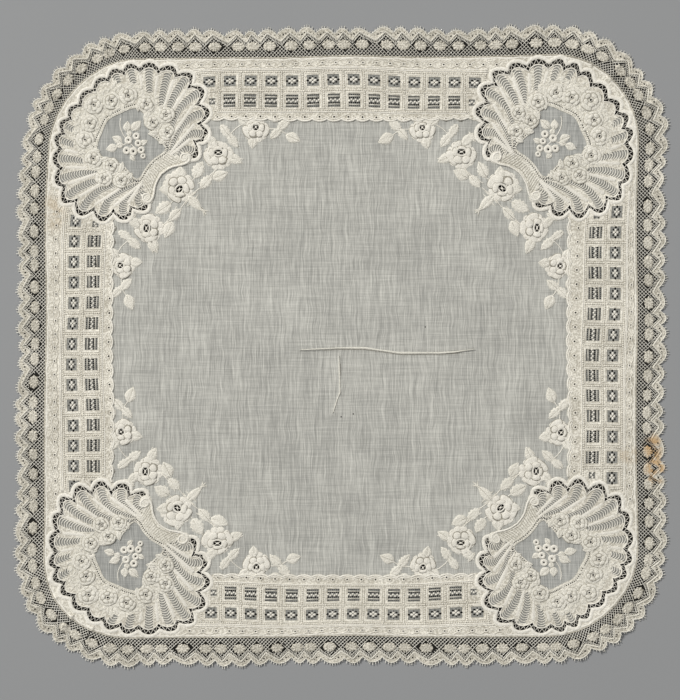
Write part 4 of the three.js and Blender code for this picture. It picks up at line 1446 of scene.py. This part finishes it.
def knot_row(path):
    """Sets knots along the path, where it is off the shells."""
    for run in off_shell(path):
        for spot in spots_along(run, np.arange(0.3, lengths(run)[-1], KNOT_PITCH)):
            knots.append((*spot, 1.25, 0, KNOT_SIZE, KNOT_SIZE, 0.6))


def cord_row(rows, path, height):
    """Lays a cord along the path, where it is off the shells."""
    rows += [path_at(run, height) for run in off_shell(path)]


for side in SIDES:
    line = np.linspace(-99, 99, 133)
    for inward in (-6.3, 6.75, 19.9):
        knot_row(border(side, line, inward))
    for inward in (-7.0, -5.75, 6.15, 7.35, 19.25, 20.5):
        cord_row(shade_lines, border(side, line[::2], inward), LOW)
    # Between two windows, a row of knots with a groove on either side of it, drawn as a line of painted
    # shade.
    for i in range(15):
        along = (i - 7) * PITCH
        spans = [(-5.6, 6), (7.5, 19.2)] if 0 < i < 14 else [(-5.6, 6)]
        for low, high in spans:
            knot_row(border(side, along, np.linspace(low, high, 9)))
            for off in (-0.75, 0.75):
                cord_row(shade_lines, border(side, along + off, np.linspace(low, high, 6)), LOW)
    for _, along, inward, kind in (window for window in WINDOWS if window[0] == side and window[3] != "part"):
        a, b = np.transpose(FRAME)
        frame_line = border(side, along + a * FRAME_ALONG, inward + b * FRAME_ACROSS[kind])
        cord_row(frames, frame_line, Z["stitched"])
    for inward in (-7.5, -8.5, 21.0):
        for run in off_shell(border(side, np.linspace(-104, 104, 90), inward)):
            ridges.append(strip(run, np.full(len(run), 0.45), 1.25, 0.4))
    # Two waving cords, one on each side of the outer eyelets, and a groove along each of them, drawn as a
    # line of painted shade.
    wave = np.linspace(-12.2, 12.2, 290)
    for phase, level, beside in ((0, -10.0, 0.6), (math.pi, -12.6, -0.6)):
        deep = level - 0.7 * np.cos(TURN * wave + phase + math.pi) + LEFT_SHIFT[side]
        cord_row(cords, border(side, wave * EYELET_PITCH, deep), 1.32)
        cord_row(shade_lines, border(side, wave[::2] * EYELET_PITCH, deep[::2] + beside), LOW)


print(len(knots), "knots,", len(cords), "cords and", len(shade_lines), "shade_lines")

# %% [markdown]
# The edge of the clear lawn is corded with two ridges that follow its scallops, and the outer hem
# is a rolled edge that is whipped unevenly. All that was gathered on the four sides is laid now,
# one piece for each kind of stitch.

# %% Laying the border
for scale, half, height in ((1.0042, 0.62, 0.5), (1.0125, 0.4, 0.4)):
    for run in off_shell(CLEAR_EDGE * scale):
        ridges.append(strip(run, np.full(len(run), half), LOW, height))
steps = np.linspace(0, 1, 1400)
hem = round_rim(steps, -0.75 + 0.25 * np.sin(TURN * 113 * steps) + 0.12 * np.sin(TURN * 71 * steps))
ridges.append(strip(hem, np.full(len(hem), 0.55), LOW, 0.2))
stitches("border_knots", KNOT, knots, CORD)
threads("border_waves", cords, 0.32, CORD)
threads("border_frames", frames, 0.36, CORD)
# The grooves of the border are dark threads: painted shade.
threads("border_grooves", shade_lines, 0.24, SHADE_LINE, sides=3)
laid_down("border_cords", drawn_mesh("cords", *joined(ridges)), CORD)
stitches("eyelet_rings", EYE_RING, [(*spot, LOW, 0, 1.2, 1.2, 0.45) for spot in eyelets], CORD)
# A dark ring round each eyelet is the painted shade of its groove.
around = [path_at(oval(*spot, 2.0, 1.9, 0, 10), 1.22, closed=True) for spot in eyelets]
threads("eyelet_grooves", around, 0.22, SHADE_LINE, sides=3)

# %% [markdown]
# In each star window four stitched petals meet round a pinhole. In each ladder window a row of
# knots runs between the two middle lines of holes, and thin bars run between the others. They are
# set out with the first tree, and windows that a shell covers are left empty.

# %% Filling the windows
petals, bars, beads = [], [], []
for side, along, inward, kind in WINDOWS:
    spot = border(side, along, inward)
    if on_shell(spot)[0]:
        continue
    turn = side_turn(side)
    if kind == "star":
        for quarter_turn in range(4):
            angle = turn + quarter_turn * math.pi / 2
            length = 2.2 if quarter_turn % 2 == 0 else 1.5
            root = spot + 0.35 * np.array([math.cos(angle), math.sin(angle)])
            petals.append((*root, 1.05, angle, length, 1.6, 0.55))
    else:
        reach = 3.9 if kind == "ladder" else 1.7
        for row, wide in ((-2.7, 0.5), (2.6, 0.5)) if kind == "ladder" else ():
            foot = border(side, along - reach, inward + row)
            bars.append((*foot, 0.98, turn, 2 * reach, wide, 0.2))
        for a in np.arange(-reach + 0.4, reach, 1.45):
            spot = border(side, along + a, inward + 0.45 * (-1) ** len(beads))
            beads.append((*spot, 1.0, 0, 0.74, 0.8, 0.65))
stitches("window_stars", PLAIN_PETAL, petals, CORD)
stitches("window_bars", BAR, bars, STITCHED)
stitches("window_knots", BEAD, beads, CORD)
# The shield is edged with a line of pricked holes between two lines of knots. The pricked holes are
# flat dark knots, which are painted shade.
rows, pricks = [], []
for scale, found in ((1.045, rows), (1.1, pricks), (1.155, rows)):
    ring = rounded(np.array(SHIELD) * scale + ((scale - 1) * 2, 0), 12)
    ring = spots_along(ring, np.arange(0, lengths(ring)[-1], 1.55))
    size, height = (0.42, 0.35) if found is rows else (0.52, 0.09)
    for quarter in QUARTERS:
        found += [(*p, 1.29, 0, size, size, height) for p in in_quarter(quarter, ring)]
stitches("shield_knots", KNOT, rows, CORD)
stitches("shield_pricks", KNOT, pricks, HOLE_SHADE)

# %% [markdown]
# Two of the creases in the lawn were pressed flat as narrow folds. There the sheer cloth lies three
# deep, so it looks paler, with a line of painted shade under one edge. Real folds would need the cloth
# to pass under itself, so a thin strip stands for each of them.

# %% The pressed folds
STEPS = 60
folds, shades = [], []
for (_, _, points), widest, under in ((CREASES[0], 0.95, (0, -1.1)), (CREASES[1], 0.7, (0.95, 0))):
    places = np.linspace(0, lengths(points)[-1], STEPS)
    path = spots_along(points, places)
    swell = np.sin(math.pi * np.linspace(0.02, 0.98, STEPS)) ** 0.5 * (0.8 + 0.2 * np.sin(places / 5.0))
    folds.append(strip(before_pinning(path), widest * swell, Z["lawn"], 0.3))
    shades.append(path_at(before_pinning(path[8:-5] + under), 0.93))
laid_down("pressed_folds", drawn_mesh("folds", *joined(folds)), FOLDED)
threads("fold_shades", shades, 0.2, SHADE_LINE, sides=3)

# %% [markdown]
# The edging is bobbin lace. Next to the rim it is an open net, with a blossom for each scallop, and
# outside the net a zigzag trail of close clothwork. The trail is one band all round: rows of points
# from its inner to its outer edge, a little raised along both. The dark ground under the net is
# painted shade between its threads, and stands in for a dark table too. It is part of the same mesh,
# so the lace stays one sheet.

# %% The trail of clothwork
COUNT = LACE["scallops"]
# Each scallop: where its blossom stands, and where its zigzag is highest and lowest, as shares of it.
BLOSSOM_AT, PEAK_AT, DIP_AT = 0.36, 0.44, 0.84


def drift(share):
    """How far the pattern has crept along the edging here, as a share of a scallop."""
    return 0.11 * np.sin(TURN * 29 * share + 1) + 0.08 * np.sin(TURN * 47 * share + 2.2)


def trail_edges(share):
    """How far out the trail's inner and outer edges lie at these shares of the way round."""
    share = np.asarray(share)
    s = (share * COUNT + drift(share)) % 1
    swell = 0.45 * np.sin(TURN * 23 * share + 0.7) + 0.3 * np.sin(TURN * 61 * share)
    scallop = (LACE["depth"] - LACE["valley"]) * np.abs(np.sin(math.pi * s)) ** 0.8
    outer = LACE["valley"] - 0.7 + scallop + swell
    low, high = LACE["zigzag"]
    middle = low + (high - low) * (1 - DIP_AT) / (1 - DIP_AT + PEAK_AT)
    inner = np.interp(s, [0, PEAK_AT, DIP_AT, 1], [middle, high, low, middle])
    return inner, outer


columns = np.arange(COUNT * 16) / (COUNT * 16)
inner, outer = trail_edges(columns)
points, faces, numbers = [], [], []
# The first rows are the dark ground under the net, in the finish of painted shade.
ground = [(np.full(len(columns), 0.4), 0.3), (inner * 0.5, 0.3), (inner - 0.1, 0.3)]
ACROSS = [(0, 0.7), (0.06, 1.0), (0.16, 0.95), (0.3, 0.8), (0.6, 0.8), (0.86, 0.95), (0.94, 0.9), (1, 0.5),
          (1, 0.2)]  # of the trail: a share of its width, and its height there
section = ground + [(inner + (outer - inner) * share, height) for share, height in ACROSS]
for out, height in section:
    points += [(*p, height) for p in round_rim(columns, out)]
wide = len(columns)
for j in range(len(section) - 1):
    for i in range(wide):
        a, b = j * wide + i, j * wide + (i + 1) % wide
        faces.append((a, a + wide, b + wide, b))
        numbers.append(1 if j < len(ground) - 1 else 0)
trail = drawn_mesh("trail", points, faces)
trail.polygons.foreach_set("material_index", numbers)
lace_trail = laid_down("lace_trail", trail, LACE_THREAD, "lace", parts=(HOLE_SHADE,))

# %% [markdown]
# Inside the trail lies an open net. Its threads run aslant one way, and then the other way a little
# higher, as twisted bobbin threads cross. A picture with holes would be lighter, but flat. Real threads
# cast their own shade, and stop where a blossom or the trail begins.

# %% The net
CELL = 2.5
COVERED = (4.2, 3.1)  # the half length and half width of a blossom, where no net is laid


def in_blossom(share, out):
    """Whether a place lies under a blossom."""
    s = (np.asarray(share) * COUNT + drift(share)) % 1 - BLOSSOM_AT
    return (s * RIM / COUNT / COVERED[0]) ** 2 + ((out - LACE["flower_at"]) / COVERED[1]) ** 2 < 1


strands = []
for lean, height in ((1, 0.62), (-1, 0.8)):
    for start in np.arange(0, RIM, RIM / round(RIM / CELL)):
        out = np.arange(0.25, 17, CELL / 2)
        share = (start + lean * out) / RIM
        keep = (out < trail_edges(share)[0] - 0.6) & ~in_blossom(share, out)
        for run in runs(np.stack([share, out], -1), keep):
            picked = np.unique(np.concatenate([np.arange(0, len(run), 2), [len(run) - 1]]))
            strands.append(path_at(round_rim(*run[picked].T), height))
threads("lace_net", strands, 0.225, NET_THREAD, "lace", sides=3)

# %% [markdown]
# Every scallop has one blossom: a heart with ten petals round it, each with a knot in its middle.
# They are set out like the roses, with the same forms in the finish of the lace, because at this
# size padded petals and clothwork look alike.

# %% Blossoms of the net
hearts, blossom_petals, blossom_knots = [], [], []
for i in range(COUNT):
    share = (i + BLOSSOM_AT - drift((i + BLOSSOM_AT) / COUNT)) / COUNT
    middle = round_rim(share, LACE["flower_at"])
    way = round_rim(share, 12.0) - middle
    facing = math.atan2(way[1], way[0])
    hearts.append((*middle, 0.5, facing, 2.9, 4.3, 0.42))
    for k in range(10):
        angle = TURN * (k + 0.5) / 10
        direction = np.array([math.cos(facing + angle), math.sin(facing + angle)])
        long = 4.7 - 1.4 * math.cos(angle) ** 2
        blossom_petals.append((*(middle + direction * 1.2), 0.62, facing + angle, long - 1.2, 1.5, 0.42))
        blossom_knots.append((*(middle + direction * (long - 1.9)), 0.98, 0, 0.34, 0.34, 0.3))


print(len(hearts), "blossoms with", len(blossom_petals), "petals")

# %% [markdown]
# The trail is outlined with cords, pierced with a few pinholes, which are flat dark knots of painted
# shade, and tied to the net with short bars. Its outer edge is ragged with picots, short ends of thread
# that no two scallops share. A seeded chance gives each its lean and length, so every render is the same.

# %% Bars, cords and picots
steps = np.arange(COUNT * 12) / (COUNT * 12)
inner = trail_edges(steps)[0]
lace_bars = [([(*a, 0.75), (*b, 0.8)], False)
             for a, b in zip(round_rim(steps, inner - 1.5), round_rim(steps, inner + 0.3))]
fine = np.arange(COUNT * 16) / (COUNT * 16)
inner, outer = trail_edges(fine)
foot = path_at(round_rim(fine, inner - 1.45), 0.8, closed=True)
cord = path_at(round_rim(fine, inner + 0.75), 1.05, closed=True)
brink = path_at(round_rim(fine, outer - 0.35), 0.95, closed=True)
seam = path_at(round_rim(np.arange(600) / 600, 0.55), 0.9, closed=True)
# Pinholes of the trail in each scallop: a share along it, a share across it, size.
TRAIL_HOLES = [(0.74, 0.5, 0.75), (0.6, 0.45, 0.5), (0.88, 0.62, 0.45), (0.5, 0.3, 0.42), (0.3, 0.4, 0.4),
               (0.12, 0.55, 0.42)]
chance = np.random.default_rng(11)
picots, pinholes = [], []
for i in range(COUNT):
    for at, depth, size in TRAIL_HOLES:
        share = (i + at + chance.uniform(-0.02, 0.02) - drift((i + at) / COUNT)) / COUNT
        edge_in, edge_out = trail_edges(share)
        spot = round_rim(share, edge_in + (edge_out - edge_in) * depth)
        pinholes.append((*spot, 0.82, chance.uniform(0, TURN), size, size * 0.8, 0.08))
# The picots: short ends of thread that stand out from the edge, no two alike.
PICOTS = int(RIM / 1.7)
for share in np.arange(PICOTS) / PICOTS:
    lean, long = chance.uniform(-0.6, 0.6), chance.uniform(0.8, 1.8)
    edge = trail_edges(share)[1]
    root, tip = round_rim(share, edge - 0.3), round_rim(share + lean / RIM, edge + long)
    picots.append(([(*root, 0.7), (*tip, 0.6)], False))
stitches("lace_blossoms", ROUND, hearts, LACE_THREAD, "lace")
stitches("blossom_petals", PLAIN_PETAL, blossom_petals, LACE_THREAD, "lace")
stitches("blossom_knots", KNOT, blossom_knots, NET_THREAD, "lace")
threads("lace_bars", lace_bars, 0.24, NET_THREAD, "lace", sides=3)
threads("lace_cords", [cord, brink], 0.3, NET_THREAD, "lace")
threads("lace_foot", [foot], 0.17, NET_THREAD, "lace", sides=3)
# The pinholes are flat dark knots: painted shade.
stitches("lace_pinholes", KNOT, pinholes, HOLE_SHADE, "lace")
threads("lace_picots", picots, 0.3, NET_THREAD, "lace", sides=3)
threads("lace_footing", [seam], 0.45, LACE_THREAD, "lace")

# %% [markdown]
# The forms that were repeated are no longer needed. The lawn panel and the lace edging of the solid
# model are hidden, and the pieces that were laid down stand in for them. Each piece was put in the
# slot of the lawn or of the lace.

# %% Hiding the solid cloth
for form in FORMS:
    bpy.data.objects.remove(form)
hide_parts("lawn_panel")
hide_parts("lace_edging")
print({slot: len(pieces) for slot, pieces in PIECES.items()}, "pieces")

# %% [markdown]
# The floor is a plain sheet of middle grey. It is darker than the threads of the lace and paler than
# its holes, so both can be told from it. One face is enough for it.

# %% The floor
def floor_finish():
    material, board, place = new_finish("floor")
    cloud = grain(board, place, 5, 3.0)
    colour = mixed(board, cloud, (0.295, 0.30, 0.305, 1), (0.31, 0.315, 0.32, 1))
    close_finish(board, {"Base Color": colour, "Roughness": 0.95, "Specular IOR Level": 0.1})
    return material


HALF_FLOOR = 2
floor_corners = [(HALF_FLOOR * x, HALF_FLOOR * y, 0) for x, y in ((-1, -1), (1, -1), (1, 1), (-1, 1))]
floor_mesh = drawn_mesh("floor", floor_corners, [(0, 1, 2, 3)])
floor_mesh.materials.append(floor_finish())
floor = bpy.data.objects.new("floor", floor_mesh)
bpy.context.collection.objects.link(floor)
print("the floor is", 2 * HALF_FLOOR, "m wide")

# %% [markdown]
# White on white shows only by its shade. A lamp overhead would wash the stitches out, so the key is a
# soft one at the upper left, about forty degrees up. A weaker lamp opposite, and a little light from
# the whole room, fill its shadows.

# %% Lamps and room
def lamp(name, place, size, power):
    """A round soft lamp that is aimed at the middle of the cloth."""
    light = bpy.data.lights.new(name, "AREA")
    light.color = (1, 0.99, 0.965)
    light.shape, light.size, light.energy = "DISK", size, power
    holder = bpy.data.objects.new(name, light)
    holder.location = place
    holder.rotation_euler = (-Vector(place)).to_track_quat("-Z", "Y").to_euler()
    bpy.context.collection.objects.link(holder)


lamp("key", (-3.0, 3.2, 3.6), 1.8, 318)
lamp("fill", (2.6, -2.4, 3.4), 2.6, 48)
world = bpy.data.worlds.new("room")
world.use_nodes = True
background = world.node_tree.nodes["Background"]
background.inputs["Color"].default_value = (0.97, 0.98, 1, 1)
background.inputs["Strength"].default_value = 0.22
bpy.context.scene.world = world
bpy.context.scene.view_settings.view_transform = "Standard"
print("lamps:", [light.name for light in bpy.data.lights])

# %% [markdown]
# The camera looks straight down, so the square is seen as a square. A long lens from far away keeps
# the edges from leaning.

# %% The camera
camera_data = bpy.data.cameras.new("camera")
camera_data.lens, camera_data.sensor_width = 100, 36
camera_data.clip_start, camera_data.clip_end = 0.05, 20
camera = bpy.data.objects.new("camera", camera_data)
camera.location = (-0.00068, -0.00224, 1.3235)  # over the middle of the cloth as it lies
bpy.context.collection.objects.link(camera)
bpy.context.scene.camera = camera
print("the camera is", round(camera.location.z, 2), "m above the table")
